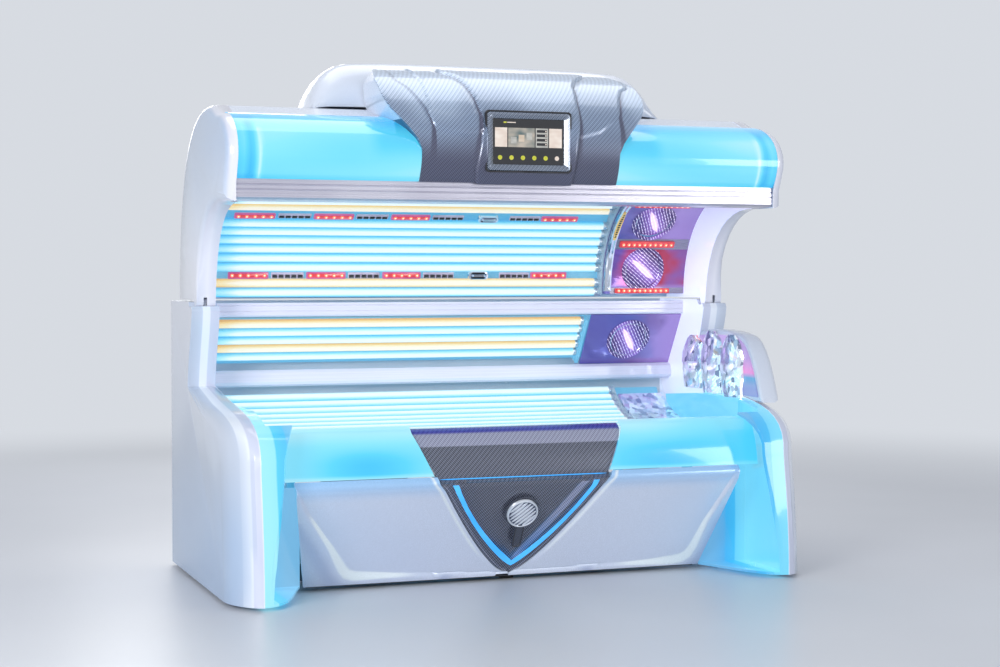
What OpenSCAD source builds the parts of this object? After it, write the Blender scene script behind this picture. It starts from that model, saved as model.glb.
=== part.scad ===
// Salon sunbed with a hinged canopy, drawn open, with all its main pieces.
// X runs along the bed, Y from the front to the back, Z up; the floor is Z = 0.

/* [Overall] */
// Length over the two end panels
bed_length = 2400; // [2300:10:2500]
// Depth from the front foot to the back
bed_depth = 1240; // [1200:10:1300]
// Height of the seam between base and canopy
seam_height = 1130; // [1100:5:1160]
// Hinge axis in front of the back of the bed
hinge_inset = 425; // [410:5:440]

/* [Base] */
// Wall of the moulded end panels
end_wall = 12; // [8:1:16]
// Width of an end panel along the bed
end_width = 114; // [106:2:120]
// Height of the underside of the panels above the floor
floor_gap = 15; // [10:1:20]
// Height of the arm of an end panel at its front
arm_height = 700; // [680:5:720]
// Height of the front roll that the bench runs to
roll_height = 640; // [620:5:660]
// Height of the edge between the light band and the lower panels
belt_height = 450; // [430:5:470]
// Toe line of the lower panels behind the front foot
toe_inset = 370; // [350:5:390]
// Belt line of the lower panels behind the front foot
belt_inset = 150; // [140:5:170]
// Thickness of the moulded front panels
panel_wall = 10; // [6:1:12]
// Height of the levelling feet
foot_height = 40; // [30:1:50]
// Diameter of a levelling foot
foot_diameter = 60; // [50:1:70]
// Thickness of the back panel
back_wall = 8; // [5:1:10]

/* [Shield] */
// Width of the centre shield at its top
shield_top = 888; // [860:4:920]
// Width of the centre shield at the belt
shield_belt = 716; // [700:4:740]
// Wall of the shield
shield_wall = 8; // [6:1:10]
// Width of the light strip on the shield
strip_width = 22; // [16:1:28]
// Diameter of the lock knob
knob_diameter = 130; // [120:1:140]
// Width of the knob's lever
lever_width = 40; // [30:1:44]
// Length of the lever past the edge of the knob
lever_reach = 100; // [80:1:110]
// Height of the middle of the lock knob
knob_height = 300; // [280:5:320]

/* [Lamps] */
// Diameter of a long lamp
tube_diameter = 38; // [36:1:39]
// Distance between neighbouring lamps
tube_pitch = 41.5; // [41:0.5:44]
// Largest number of lamps in the bench
bench_lamps = 18; // [14:1:18]
// Thickness of the acrylic sheets
acrylic = 8; // [5:1:10]
// Gap between an acrylic sheet and its lamps
lamp_gap = 5; // [4:1:8]
// Thickness of the reflector sheets
sheet = 2; // [1:0.5:3]
// Diameter of a round face lamp
face_lamp = 176; // [160:2:184]
// Depth of a round face lamp
face_depth = 46; // [40:1:50]

/* [Canopy] */
// Step from an end of the bed in to the outer face of a cap
cap_inset = 22; // [16:1:28]
// Width of a cap along the bed
cap_width = 78; // [74:1:84]
// Step from the outer face of a cap in to the end of the front rail
rail_inset = 44; // [40:1:50]
// Height of the canopy's crown above the hinge
canopy_rise = 770; // [750:5:800]
// Back of the canopy behind the hinge
canopy_back = 375; // [360:5:390]
// Front of the rail in front of the hinge
canopy_reach = 570; // [560:5:580]
// Height of the front rail
rail_height = 80; // [70:1:90]
// Depth of the front rail
rail_depth = 100; // [90:1:110]
// Wall of the canopy's shells
shell_wall = 5; // [4:1:6]
// Height of the top cowl above the crown
cowl_rise = 200; // [180:5:220]
// Width of the console at its foot
console_foot = 832; // [800:4:860]
// Width of the console at its widest
console_head = 1110; // [1080:5:1140]
// Width of the screen
screen_width = 300; // [280:2:320]
// Height of the screen
screen_height = 180; // [170:2:190]
// Border of the screen frame
bezel = 26; // [20:1:30]

/* [Hinges] */
// Diameter of the hinge pins
pin_diameter = 12; // [10:1:14]
// Thickness of the hinge plates
plate = 8; // [6:1:10]
// Radius of the canopy's round corner at the hinge
knuckle = 26; // [24:1:28]
// Diameter of the spring cans that balance the canopy
can_diameter = 38; // [30:1:40]

/* [Controls and air] */
// Diameter of the start button
button_diameter = 22; // [18:1:24]
// Diameter of the base fan
fan_diameter = 220; // [200:5:240]

/* [Hidden] */
$fn = 48;

gap = 0.3;
seat_gap = 0.6;
flap_gap = 0.8;
slack = 2;
seam_gap = 4;
half = bed_length / 2;
front = -bed_depth / 2;
rear = bed_depth / 2;
hinge_y = rear - hinge_inset;
hinge_z = seam_height;
end_in = half - end_width;
cap_out = half - cap_inset;
cap_in = cap_out - cap_width;
rail_end = cap_out - rail_inset;
cage = end_in - seat_gap;

function rev(c) = [for (i = [len(c) - 1:-1:0]) c[i]];
function bez(a, b, c, d, n) = [for (i = [0:n])
    let (t = i / n, u = 1 - t)
    u * u * u * a + 3 * u * u * t * b + 3 * u * t * t * c + t * t * t * d];
function tail(c) = [for (i = [1:len(c) - 1]) c[i]];
function turn(c, r, a0, a1, n) = [for (i = [0:n])
    let (a = a0 + (a1 - a0) * i / n) c + r * [cos(a), sin(a)]];
function unit(v) = v / norm(v);
function side(c, i) = let (a = c[max(i - 1, 0)], b = c[min(i + 1, len(c) - 1)],
    d = unit(b - a)) [d[1], -d[0]];
// The curve c moved sideways by d, to its right as it runs
function beside(c, d) = [for (i = [0:len(c) - 1]) c[i] + d * side(c, i)];
function strip(c, d0, d1) = concat(beside(c, d0), rev(beside(c, d1)));
function run(c, i = 0) = i >= len(c) - 1 ? 0 : norm(c[i + 1] - c[i]) + run(c, i + 1);
// Point and direction at the distance s along the curve c
function spot(c, s, i = 0) = let (d = norm(c[i + 1] - c[i]))
    (s <= d || i >= len(c) - 2) ? [c[i] + (c[i + 1] - c[i]) * s / d, unit(c[i + 1] - c[i])]
    : spot(c, s - d, i + 1);
function from_hinge(y, z) = [hinge_y + y, hinge_z + z];
function from_front(y, z) = [front + y, z];
// Closed outline moved inward by d, for outlines that run anticlockwise
function inset(c, d) = [for (i = [0:len(c) - 1])
    let (a = unit(c[i] - c[(i + len(c) - 1) % len(c)]),
        b = unit(c[(i + 1) % len(c)] - c[i]),
        m = [-a[1] - b[1], a[0] + b[0]])
    c[i] + m * d * 2 / max(norm(m) * norm(m), 1.2)];

// Outline in the Y-Z plane drawn out from x0 to x1
module along(x0, x1) {
    translate([x0, 0, 0]) rotate([90, 0, 90]) linear_extrude(x1 - x0) children();
}
module slab(c, x0, x1) {
    along(x0, x1) polygon(c);
}
// Outline in the X-Z plane drawn through the whole depth
module through() {
    translate([0, bed_depth, 0]) rotate([90, 0, 0]) linear_extrude(2 * bed_depth) children();
}
module rod_x(x0, x1, p, r) {
    translate([x0, p[0], p[1]]) rotate([0, 90, 0]) cylinder(h = x1 - x0, r = r);
}
module both() {
    children();
    mirror([1, 0, 0]) children();
}
// Closed rings of equal count, joined into one solid. A band is a ring that runs out along
// one line and back along another; any other ring is seen whole from its first point.
module loft(rings, band = false) {
    n = len(rings[0]);
    m = len(rings);
    end = band ? [for (i = [0:n / 2 - 2]) [i, i + 1, n - 2 - i, n - 1 - i]]
        : [for (i = [1:n - 2]) [0, i, i + 1]];
    pts = [for (r = rings) for (p = r) p];
    walls = [for (j = [0:m - 2]) for (i = [0:n - 1]) let (k = (i + 1) % n)
        each [[j * n + i, (j + 1) * n + i, (j + 1) * n + k],
            [j * n + i, (j + 1) * n + k, j * n + k]]];
    polyhedron(points = pts, faces = concat(walls, end,
        [for (f = end) [for (i = rev(f)) (m - 1) * n + i]]), convexity = 10);
}
function ring_at(x, c) = [for (p = c) [x, p[0], p[1]]];
function starting(c, k) = [for (i = [0:len(c) - 1]) c[(i + k) % len(c)]];

// Curves of the canopy, from the back seam over the crown to the front rail
shell_curve = concat(
    bez(from_hinge(canopy_back, seam_gap), from_hinge(canopy_back, canopy_rise * 0.54),
        from_hinge(canopy_back - 170, canopy_rise), from_hinge(-195, canopy_rise), 16),
    [from_hinge(-279, canopy_rise - 5), from_hinge(-375, canopy_rise - 42)]);
rail_top = hinge_z + 470;
rail_front = hinge_y - canopy_reach;
nose_start = from_hinge(-379, canopy_rise - 44);
nose_curve = bez(nose_start, from_hinge(-545, canopy_rise - 55),
    [rail_front - 115, rail_top + 140], [rail_front, rail_top + gap], 12);
console_curve = bez([rail_front - 6, rail_top + gap], [rail_front - 96, rail_top + 150],
    [rail_front - 56, rail_top + 380],
    from_hinge(-275, canopy_rise + cowl_rise * 0.75), 14);
acrylic_back = from_hinge(195, 20);
acrylic_front = [rail_front + rail_depth + 25, rail_top - 55];
inner_curve = concat(
    bez(acrylic_back, acrylic_back + [0, 230], from_hinge(45, 450), from_hinge(-265, 480), 24),
    tail(bez(from_hinge(-265, 480), from_hinge(-335, 487), acrylic_front + [-30, 55],
        acrylic_front, 8)));
lamp_radius = tube_diameter / 2;
lamp_line = beside(inner_curve, acrylic + lamp_gap + lamp_radius);
roof_curve = [for (i = [0:27]) inner_curve[i]];
reflector_offset = acrylic + lamp_gap + tube_diameter + 4;

// Where the lamps of the canopy lie along the acrylic sheet
row_low = 84;
white_first = 118;
row_high = white_first + 5 * tube_pitch + 45.5;
gold_at = [51, row_high + 47];
roof_run = run([for (i = [0:27]) lamp_line[i]]);
front_lamps = floor((roof_run - lamp_radius - gold_at[1]) / tube_pitch);
white_at = concat([9.5], [for (i = [0:5]) white_first + i * tube_pitch],
    [for (i = [1:front_lamps]) gold_at[1] + i * tube_pitch]);
lamp_end = cap_in - 420;
lamp_start = -cap_in + 26;

// Outline of a cap, from the hinge corner along the seam, up the back and over
chin_z = hinge_z + 384;
cap_bow = bez([rail_front + 100, chin_z], from_hinge(-250, 395), from_hinge(-60, 300),
    from_hinge(-knuckle - 2, 20), 10);
cap_top = concat([from_hinge(canopy_back, seam_gap)], [for (i = [1:18]) shell_curve[i]],
    [for (i = [2:11]) beside(nose_curve, 6)[i]],
    [[rail_front - 8, rail_top - 20], [rail_front - 8, chin_z]]);
cap_outline = starting(concat([from_hinge(knuckle - 1, seam_gap)], cap_top, cap_bow,
    turn([hinge_y, hinge_z], knuckle, 180, 340, 10)), 13);
cap_core = concat([from_hinge(10, seam_gap)], cap_top, [for (i = [1:9]) cap_bow[i]]);
// The same outline with its outer edge rounded in by d, away from hinge and seam
function cap_ring(x, d) = let (c = inset(cap_outline, d))
    [for (i = [0:len(c) - 1])
        let (p = cap_outline[i], w = min(max((norm(p - [hinge_y, hinge_z]) - 30) / 150, 0), 1),
            q = p + (c[i] - p) * w)
        [x, q[0], p[1] <= hinge_z + seam_gap ? p[1] : q[1]]];

// Outline of an end panel; the nose moves back by b and the arm sinks by d
function end_outline(b, d) = concat(
    [[rear - 4, floor_gap], [rear - 4, hinge_z - seam_gap]],
    [from_hinge(knuckle + 8, -seam_gap), from_hinge(knuckle + 8, -seam_gap - 1)],
    [from_hinge(-knuckle + 2, -seam_gap - 18)],
    bez(from_hinge(-knuckle - 10, -40), from_hinge(-knuckle + 10, -150),
        from_hinge(-knuckle + 60, -200), from_hinge(60, arm_height + 80 - hinge_z), 8),
    [from_hinge(20, arm_height + 76 - hinge_z - d * 0.3)],
    bez([hinge_y - 215, arm_height + 40 - d], from_front(b + 220, arm_height - d),
        from_front(b + 40, arm_height - 20 - d), from_front(b + 50, 500), 10),
    bez(from_front(b + 46, 470), from_front(b + 20, 330),
        from_front(b, 150), from_front(b, floor_gap), 4));

// Bench surface from its back bead to the front roll
bench_back = from_hinge(305, -365);
bench_front = from_front(302, roll_height);
bench_curve = bez(bench_back, bench_back + [-30, -150], [hinge_y - 90, 545],
    bench_front + [110, -75], 20);
bench_sheet = concat(bench_curve, bez(bench_front + [95, -62], bench_front + [60, -28],
    bench_front + [30, -6], bench_front, 4));
bead = 9;

band_top = from_front(290, roll_height);
band_foot = from_front(belt_inset + 40, belt_height + gap + 1.4);
band_curve = bez(band_top, band_top + [-50, -4], band_foot + [10, 90], band_foot, 8);
panel_curve = concat([from_front(belt_inset + 56, belt_height),
    from_front(belt_inset + 14, belt_height - 2), from_front(belt_inset, belt_height - 20),
    from_front(belt_inset + 4, belt_height - 45)],
    [from_front(toe_inset, floor_gap + 10)]);
shield_curve = concat(band_curve, [for (i = [2:4]) panel_curve[i]]);
face_tilt = atan2(toe_inset - belt_inset - 4, belt_height - 45 - floor_gap - 10);

// Height outline of the shield, seen from the front
function shield_shape(m) = concat(
    [[-shield_top / 2 - m, roll_height + 30], [-shield_top / 2 - m, roll_height - 25],
        [-shield_belt / 2 - m, belt_height - 20 - m / 2]],
    bez([-shield_belt / 2 + 30 - m, belt_height - 60], [-160, 140 - m],
        [-60 - m, 38 - m], [0, 30 - m], 8),
    bez([0, 30 - m], [60 + m, 38 - m], [160, 140 - m],
        [shield_belt / 2 - 30 + m, belt_height - 60], 8),
    [[shield_belt / 2 + m, belt_height - 20 - m / 2], [shield_top / 2 + m, roll_height - 25],
        [shield_top / 2 + m, roll_height + 30]]);

// Side panel behind the sleeper, from its top to its foot
side_line = [from_hinge(185, -75), from_hinge(325, -300)];
side_end = end_in - 466;
side_at = [for (i = [0:4]) 50 + i * tube_pitch];

rail_w = 50;
rail_h = 60;
front_rail_y = front + toe_inset + 60;
back_rail_y = rear - 90;
hinge_plate_x = cap_in + 38;
arm_x = hinge_plate_x - plate - 1;
bore = pin_diameter / 2 + gap;
neck = pin_diameter / 2 + 6;

cross_at = [-end_in + 86, -end_in / 2 + 43, 0, end_in / 2 - 43, end_in - 126];
foot_at = [cross_at[0], 20, cross_at[4] + 20];

// Steel chassis: rails, cross members and the plates that carry the hinges
module base_frame() {
    color("dimgray") {
        for (y = [front_rail_y, back_rail_y])
            translate([-end_in + gap, y - rail_w / 2, foot_height])
                cube([2 * (end_in - gap), rail_w, rail_h]);
        for (x = cross_at)
            translate([x, front_rail_y, foot_height + 5])
                cube([40, back_rail_y - front_rail_y, rail_h - 10]);
        both() hinge_upright();
    }
}
module hinge_upright() {
    difference() {
        union() {
            slab([[back_rail_y - 60, foot_height], [back_rail_y + 25, foot_height],
                [back_rail_y + 25, hinge_z - 260], from_hinge(neck, -70),
                from_hinge(neck, 0), from_hinge(-neck, 0), from_hinge(-neck, -70),
                [back_rail_y - 60, hinge_z - 400]],
                hinge_plate_x, hinge_plate_x + plate);
            rod_x(hinge_plate_x, hinge_plate_x + plate, [hinge_y, hinge_z], neck);
        }
        rod_x(hinge_plate_x - 1, hinge_plate_x + plate + 1, [hinge_y, hinge_z], bore);
    }
    translate([end_in - 1, back_rail_y - rail_w / 2, foot_height])
        cube([hinge_plate_x - end_in + 2, rail_w, rail_h]);
}

module levelling_feet() {
    color("black")
        for (x = foot_at, y = [front_rail_y + 10, back_rail_y - 10])
            translate([x, y, 0]) {
                cylinder(h = 12, d = foot_diameter);
                cylinder(h = foot_height, d = 16);
            }
}

module hinge_pins() {
    color("silver") both() {
        rod_x(arm_x - 8, hinge_plate_x + plate + 4, [hinge_y, hinge_z], pin_diameter / 2);
        rod_x(arm_x - 8, arm_x - 2, [hinge_y, hinge_z], pin_diameter / 2 + 4);
    }
}

can_start = hinge_plate_x + plate + 4.3;
module balance_springs() {
    color("gray") both()
        rod_x(can_start, cap_out - 9 - gap, [hinge_y, hinge_z], can_diameter / 2);
}

inlet_x = -half + 326;
inlet_z = 133;
inlet_w = 54;
inlet_h = 42;
// Back panel with its rows of air slots
module back_panel() {
    color("white") difference() {
        translate([-cage, rear - 4 - back_wall, floor_gap])
            cube([2 * cage, back_wall, hinge_z - seam_gap - floor_gap]);
        for (x = [-700, 0, 700], i = [0:5])
            translate([x - 150, rear - 20, 260 + i * 30]) cube([300, 30, 12]);
        translate([inlet_x - gap, rear - 20, inlet_z - gap])
            cube([inlet_w + 2 * gap, 30, inlet_h + 2 * gap]);
    }
}

// Share of the width, step back of the nose and drop of the arm, from the inner face out
end_stations = [[0, 0, 0], [0.21, 8, 2], [0.42, 30, 6], [0.65, 65, 14], [0.82, 100, 24],
    [0.93, 137, 34], [1, 190, 46]];
module end_panel() {
    difference() {
        loft([for (s = end_stations)
            ring_at(end_in + s[0] * end_width, end_outline(s[1], s[2]))]);
        slab(inset(end_outline(215, 60), end_wall), end_in + end_wall, half - end_wall);
        slab(inset(end_outline(60, 16), end_wall), end_in + end_wall, end_in + 60);
        rod_x(end_in - 1, half + 1, [hinge_y, hinge_z], knuckle + 1.5);
        translate([hinge_plate_x - 3, hinge_y - neck - 3, hinge_z - 90])
            cube([plate + 6, 2 * neck + 6, 80]);
        translate([end_in - 1, back_rail_y - rail_w / 2 - gap, foot_height - gap])
            cube([end_wall + 2, rail_w + 2 * gap, rail_h + 2 * gap]);
    }
}
module end_panel_left() {
    color("white") mirror([1, 0, 0]) end_panel();
}
module end_panel_right() {
    color("white") end_panel();
}

// Lit inner face of an end panel: a swept corner at the front and a cheek along the bench
band_end = end_in - 46;
light_plan = bez([end_in - gap, front + 2], [end_in - 110, front + 6],
    [end_in - 140, front + 170], [end_in - 225, front + toe_inset + 5], 12);
cheek_in = band_end + slack;
module light_body(wall) {
    intersection() {
        union() {
            translate([0, 0, floor_gap - wall]) linear_extrude(arm_height) polygon(concat(
                beside(light_plan, -wall), [[end_in - gap - wall, front + toe_inset + 5 - wall]]));
            slab([[front + 100, belt_height - 30], [hinge_y + 240, 600], [hinge_y + 260, 690],
                [hinge_y - 60, arm_height + 12], [front + 100, arm_height + 12]],
                cheek_in + wall, end_in - gap - wall);
        }
        slab(inset(end_outline(0, 0), gap + wall), end_in - 300, end_in);
    }
}
module end_light() {
    difference() {
        light_body(0);
        light_body(panel_wall);
        translate([end_in - 400, front + belt_inset + 24, belt_height - 40])
            cube([cheek_in - end_in + 400, bed_depth, bed_depth]);
    }
}
module end_light_left() {
    color("deepskyblue") mirror([1, 0, 0]) end_light();
}
pod_y = front + 520;
pod_z = arm_height - 20;
module end_light_right() {
    color("deepskyblue") difference() {
        end_light();
        pod_block(gap);
    }
}

ledge = concat([for (i = [2:4]) bench_sheet[20 + i]], [bench_front + [-22, 0]]);
module front_light_band() {
    color("aqua") difference() {
        union() {
            slab(strip(band_curve, 0, -panel_wall), -band_end, band_end);
            slab(strip(ledge, -acrylic - gap, -acrylic - 7), -band_end, band_end);
        }
        through() polygon(shield_shape(flap_gap));
    }
}

panel_plan = [[0, 0], [end_in - 240, 0], [end_in - 150, belt_height - 20],
    [end_in - 150, belt_height + 20], [0, belt_height + 20]];
module lower_panel() {
    difference() {
        intersection() {
            union() {
                slab(strip(panel_curve, 0, -panel_wall), 1, end_in - 140);
                bevel();
            }
            through() polygon(panel_plan);
        }
        through() polygon(shield_shape(flap_gap));
    }
}
// Raised field of a lower panel, between its bevels
module bevel() {
    intersection() {
        slab(strip([panel_curve[3], panel_curve[4]], 8, -panel_wall), 1, end_in - 140);
        through() polygon([[260, 60], [end_in - 330, 60], [end_in - 262, 110],
            [end_in - 210, belt_height - 80], [420, belt_height - 60]]);
    }
}
module lower_panel_left() {
    color("lightsteelblue") mirror([1, 0, 0]) lower_panel();
}
module lower_panel_right() {
    color("lightsteelblue") lower_panel();
}

// Centre shield, hung at its top edge so that it opens as a flap
module shield_skin(d0, d1, m) {
    intersection() {
        slab(strip(shield_curve, d0, d1), -shield_top / 2, shield_top / 2);
        through() polygon(shield_shape(m));
    }
}
knob_seat = let (p = panel_curve[3], q = panel_curve[4])
    p + (q - p) * (p[1] - knob_height) / (p[1] - q[1]);
module at_knob(d) {
    translate([0, knob_seat[0], knob_seat[1]]) rotate([90 + face_tilt, 0, 0])
        translate([0, 0, d]) children();
}
shield_hinge = band_top + [-2, 6];
module centre_shield() {
    color("#33343c") difference() {
        union() {
            shield_skin(shield_wall, -shield_wall, 0);
            at_knob(shield_wall - 1) cylinder(h = 3, d = knob_diameter + 16);
        }
        at_knob(-30) cylinder(h = 60, d = 16 + 2 * gap);
    }
}
module shield_light() {
    color("deepskyblue") difference() {
        shield_skin(shield_wall + 3, shield_wall + gap, -34);
        through() polygon(shield_shape(-34 - strip_width));
        translate([-bed_length / 2, front - 50, belt_height - 30])
            cube([bed_length, 500, 400]);
    }
}
// Ribbed quarter-turn knob with its lever and the bolt behind the shield
module lock_knob() {
    color("silver") at_knob(0) difference() {
        union() {
            translate([0, 0, shield_wall + 2.3]) cylinder(h = 16, d = knob_diameter);
            translate([0, 0, -34]) cylinder(h = 60, d = 16);
            translate([-lever_width / 2, -knob_diameter / 2 - lever_reach, shield_wall + 4])
                cube([lever_width, lever_reach + 18, 10]);
            translate([-9, -24, -34]) cube([18, 70, 5]);
        }
        for (i = [-4:4]) translate([i * knob_diameter / 10 - 1.5, -knob_diameter, shield_wall + 15])
            cube([3, 2 * knob_diameter, 9]);
    }
}

kick_y = front + toe_inset + panel_wall * cos(face_tilt) + gap;
module kick_strip() {
    color("black") difference() {
        translate([-end_in + 250, kick_y, 14])
            cube([2 * end_in - 500, front_rail_y - rail_w / 2 - gap - kick_y, foot_height + 20]);
        for (x = [-end_in + 280:60:end_in - 320])
            translate([x, kick_y - 1, 20]) cube([42, 12, 8]);
    }
}

module bench_acrylic() {
    color("aqua", 0.5) {
        slab(strip(bench_sheet, 0, -acrylic), -band_end, band_end);
        rod_x(-band_end, band_end, bench_back, bead);
    }
}
bench_line = beside(bench_curve, -acrylic - lamp_gap - lamp_radius);
bench_end = band_end - 250;
bench_first = 56;
bench_count = min(bench_lamps,
    floor((run(bench_line) - bench_first - lamp_radius) / tube_pitch) + 1);
module bench_lamps() {
    color("white") for (i = [0:bench_count - 1])
        rod_x(-band_end + 20, bench_end, spot(bench_line, bench_first + i * tube_pitch)[0], lamp_radius);
}
bench_low = tail(bench_curve);
bench_back_off = -(acrylic + lamp_gap + tube_diameter + 3);
module bench_reflector() {
    color("silver") {
        slab(strip(bench_low, bench_back_off, bench_back_off - sheet), -band_end + 4,
            band_end - 4);
        for (x = [-900, -20, 820], y = [front_rail_y, back_rail_y - 4]) difference() {
            translate([x, y - 20, foot_height + rail_h]) cube([30, 40, 700]);
            slab(concat(beside(bench_low, bench_back_off - sheet / 2),
                [[front - 100, 1000], [rear + 100, 1000], [rear + 100, 760]]), x - 1, x + 31);
        }
    }
}
module holder_blocks(line, at, x, w, r) {
    for (s = at) rod_x(x, x + w, spot(line, s)[0], r);
}
holder = 12;
module bench_lampholders() {
    color("whitesmoke") for (i = [0:bench_count - 1]) {
        p = spot(bench_line, bench_first + i * tube_pitch)[0];
        rod_x(-band_end + 20 - gap - holder, -band_end + 20 - gap, p, lamp_radius - 2);
        rod_x(bench_end + gap, bench_end + gap + holder, p, lamp_radius - 2);
    }
    color("whitesmoke") for (x = [-band_end + 4, bench_end + holder])
        slab(strip(bench_low, -(acrylic + lamp_gap + 4),
            bench_back_off + 0.2), x, x + 4 + gap);
}
// Cut-glass reflector under the head end of the bench
module head_reflector() {
    low = [for (i = [3:19]) bench_curve[i]];
    color("silver") {
        slab(strip(low, -(acrylic + lamp_gap), -(acrylic + lamp_gap + 12)), bench_end + 22,
            band_end - 6);
        for (x = [bench_end + 22, band_end - 12])
            slab(strip(low, -(acrylic + lamp_gap + 11), bench_back_off + gap), x, x + 6);
    }
}

module side_acrylic() {
    color("aqua", 0.5) slab(strip(side_line, 0, -acrylic), -cage, side_end + 12);
}
lamp_side = beside(side_line, -acrylic - lamp_gap - lamp_radius);
module side_lamps(picks) {
    for (i = picks) rod_x(-cage + 16, side_end, spot(lamp_side, side_at[i])[0], lamp_radius);
}
module side_lamps_white() {
    color("white") side_lamps([1, 2, 4]);
}
module side_lamps_gold() {
    color("khaki") side_lamps([0, 3]);
}
side_deep = -(acrylic + lamp_gap + tube_diameter + 1);
side_low = [spot(side_line, 34)[0], side_line[1]];
module side_reflector() {
    color("silver") {
        slab(strip(side_low, side_deep, side_deep - sheet), -cage, cage);
        for (x = [-cage, side_end + gap])
            slab(strip(side_low, -acrylic - gap, side_deep - sheet), x, x + 15);
    }
}
// Extruded rails above and below the side panel, ribbed along their front
module upper_rail() {
    color("silver") difference() {
        slab([from_hinge(168, -12), from_hinge(168, -64), from_hinge(176, -70.4),
            from_hinge(215, -70.4), from_hinge(235, -12)], -cage, cage);
        for (z = [-26, -50]) translate([-half, hinge_y + 160, hinge_z + z])
            cube([bed_length, 11, 4]);
    }
}
module lower_rail() {
    color("silver") difference() {
        slab([from_hinge(312, -301), from_hinge(296, -312), from_hinge(290, -352),
            from_hinge(300, -372), from_hinge(352, -372), from_hinge(368, -318),
            from_hinge(345, -300)], -cage, cage);
        rod_x(-half, half, bench_back, bead + gap);
        translate([-half, bench_back[0] - bead - 16, bench_back[1] - bead - 4])
            cube([bed_length, bead + acrylic + 20, bead + 4]);
    }
}

side_mid = (side_line[0] + side_line[1]) / 2;
side_tilt = atan2(side_line[1][0] - side_line[0][0], side_line[0][1] - side_line[1][1]);
lamp_x = side_end + 230;
module facing(p, tilt) {
    translate([lamp_x, p[0], p[1]]) rotate([90 + tilt, 0, 0]) children();
}
module shoulder_lamp() {
    color("thistle") facing(side_mid, side_tilt) translate([0, 0, -face_depth + 8])
        cylinder(h = face_depth, d = face_lamp);
}
module shoulder_housing() {
    color("mediumpurple") difference() {
        slab(strip(side_line, 0, -acrylic), side_end + 20, cage);
        facing(side_mid, side_tilt) translate([0, 0, -90]) cylinder(h = 180, d = face_lamp + 2 * gap);
    }
}

// Raised shell at the head end, standing on the right arm
head_outline = concat([from_front(985, 700), from_front(985, 940)],
    bez(from_front(960, 966), from_front(800, 1000), from_front(600, 1004),
        from_front(470, 985), 6),
    bez(from_front(440, 980), from_front(360, 960), from_front(300, 860),
        from_front(245, 700), 8));
head_in = end_in + 6;
module head_shell() {
    color("white") difference() {
        loft([for (s = [[0, 6], [8, 0], [60, 0], [80, 8], [92, 24], [98, 42]])
            ring_at(head_in + s[0], inset(head_outline, s[1]))]);
        slab(inset(end_outline(0, 0), -gap), end_in - 1, half + 1);
        slab(inset(head_outline, 40), head_in - 1, head_in + 60);
    }
}
crystal_w = 42;
module head_crystal() {
    color("silver") difference() {
        slab(inset(head_outline, 14), head_in - crystal_w, head_in - gap);
        slab(inset(end_outline(0, 0), -gap), 0, half + 1);
        for (i = [0:5]) translate([head_in - crystal_w - 3, front + 330 + i * 90, 560])
            cube([16, 24, 500]);
    }
}

module pod_block(m) {
    translate([cheek_in + 1 - m, pod_y - 45 - m, pod_z - 30 - m])
        cube([20 + 2 * m, 90 + 2 * m, 60 + 2 * m]);
}
module control_pod() {
    color("slateblue") difference() {
        pod_block(0);
        rod_x(cheek_in - 1, cheek_in + 16, [pod_y, pod_z], button_diameter / 2 + gap);
    }
}
// Start button, flush in the pod, pressed outward along X
module start_button() {
    color("white") rod_x(cheek_in + 0.8, cheek_in + 12, [pod_y, pod_z], button_diameter / 2);
}

module ballast_tray() {
    color("gray") {
        translate([-900, front_rail_y + 70, foot_height + rail_h - 5]) cube([1750, 320, 3]);
        for (x = [-860:140:-300], y = [0, 160])
            translate([x, front_rail_y + 90 + y, foot_height + rail_h - 2]) cube([110, 90, 60]);
        for (x = [300:140:600], y = [0, 160])
            translate([x, front_rail_y + 90 + y, foot_height + rail_h - 2]) cube([110, 90, 60]);
    }
}
fan_y = front_rail_y + 230;
fan_z = foot_height + rail_h - 2;
module fan_housing() {
    color("dimgray") {
        difference() {
            translate([-fan_diameter / 2 - 16, fan_y - fan_diameter / 2 - 16, fan_z])
                cube([fan_diameter + 32, fan_diameter + 32, 60]);
            translate([0, fan_y, fan_z + 4]) cylinder(h = 80, d = fan_diameter + 4);
        }
        translate([0, fan_y, fan_z + 4]) cylinder(h = 8, d = 60);
        translate([0, fan_y, fan_z + 4]) cylinder(h = 30, d = 10);
    }
}
module fan_rotor() {
    color("black") translate([0, fan_y, fan_z + 13]) difference() {
        union() {
            cylinder(h = 34, d = 70);
            for (i = [0:6]) rotate([0, 0, i * 360 / 7]) rotate([24, 0, 0])
                translate([20, -17, 10]) cube([fan_diameter / 2 - 22, 34, 3]);
        }
        translate([0, 0, -1]) cylinder(h = 24, d = 10 + 2 * gap);
    }
}
module power_inlet() {
    color("black") difference() {
        translate([inlet_x, rear - 4 - back_wall - 30, inlet_z])
            cube([inlet_w, back_wall + 34, inlet_h]);
        translate([inlet_x + 10, rear - 12, inlet_z + 8]) cube([inlet_w - 20, 30, inlet_h - 16]);
    }
}

// Steel frame of the canopy: a side arm at each end and three beams
beam = 40;
beams = [[318, 90], [285, 350], [-40, 610], [-430, 575]];
module canopy_frame() {
    color("dimgray") {
        both() difference() {
            union() {
                slab([for (p = [[14, -8], [318, 72], [338, 110], [305, 380], [150, 560],
                    [-20, 640], [-430, 620], [-450, 560], [-60, 560], [110, 500], [240, 330],
                    [262, 130], [-6, 14]]) from_hinge(p[0], p[1])], arm_x, arm_x + plate);
                rod_x(arm_x, arm_x + plate, [hinge_y, hinge_z], pin_diameter / 2 + 9);
            }
            rod_x(arm_x - 1, arm_x + plate + 1, [hinge_y, hinge_z], bore);
        }
        for (b = beams) translate([-arm_x - plate + 1, hinge_y + b[0] - beam / 2,
            hinge_z + b[1] - beam / 2]) cube([2 * (arm_x + plate - 1), beam, beam]);
    }
}

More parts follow.
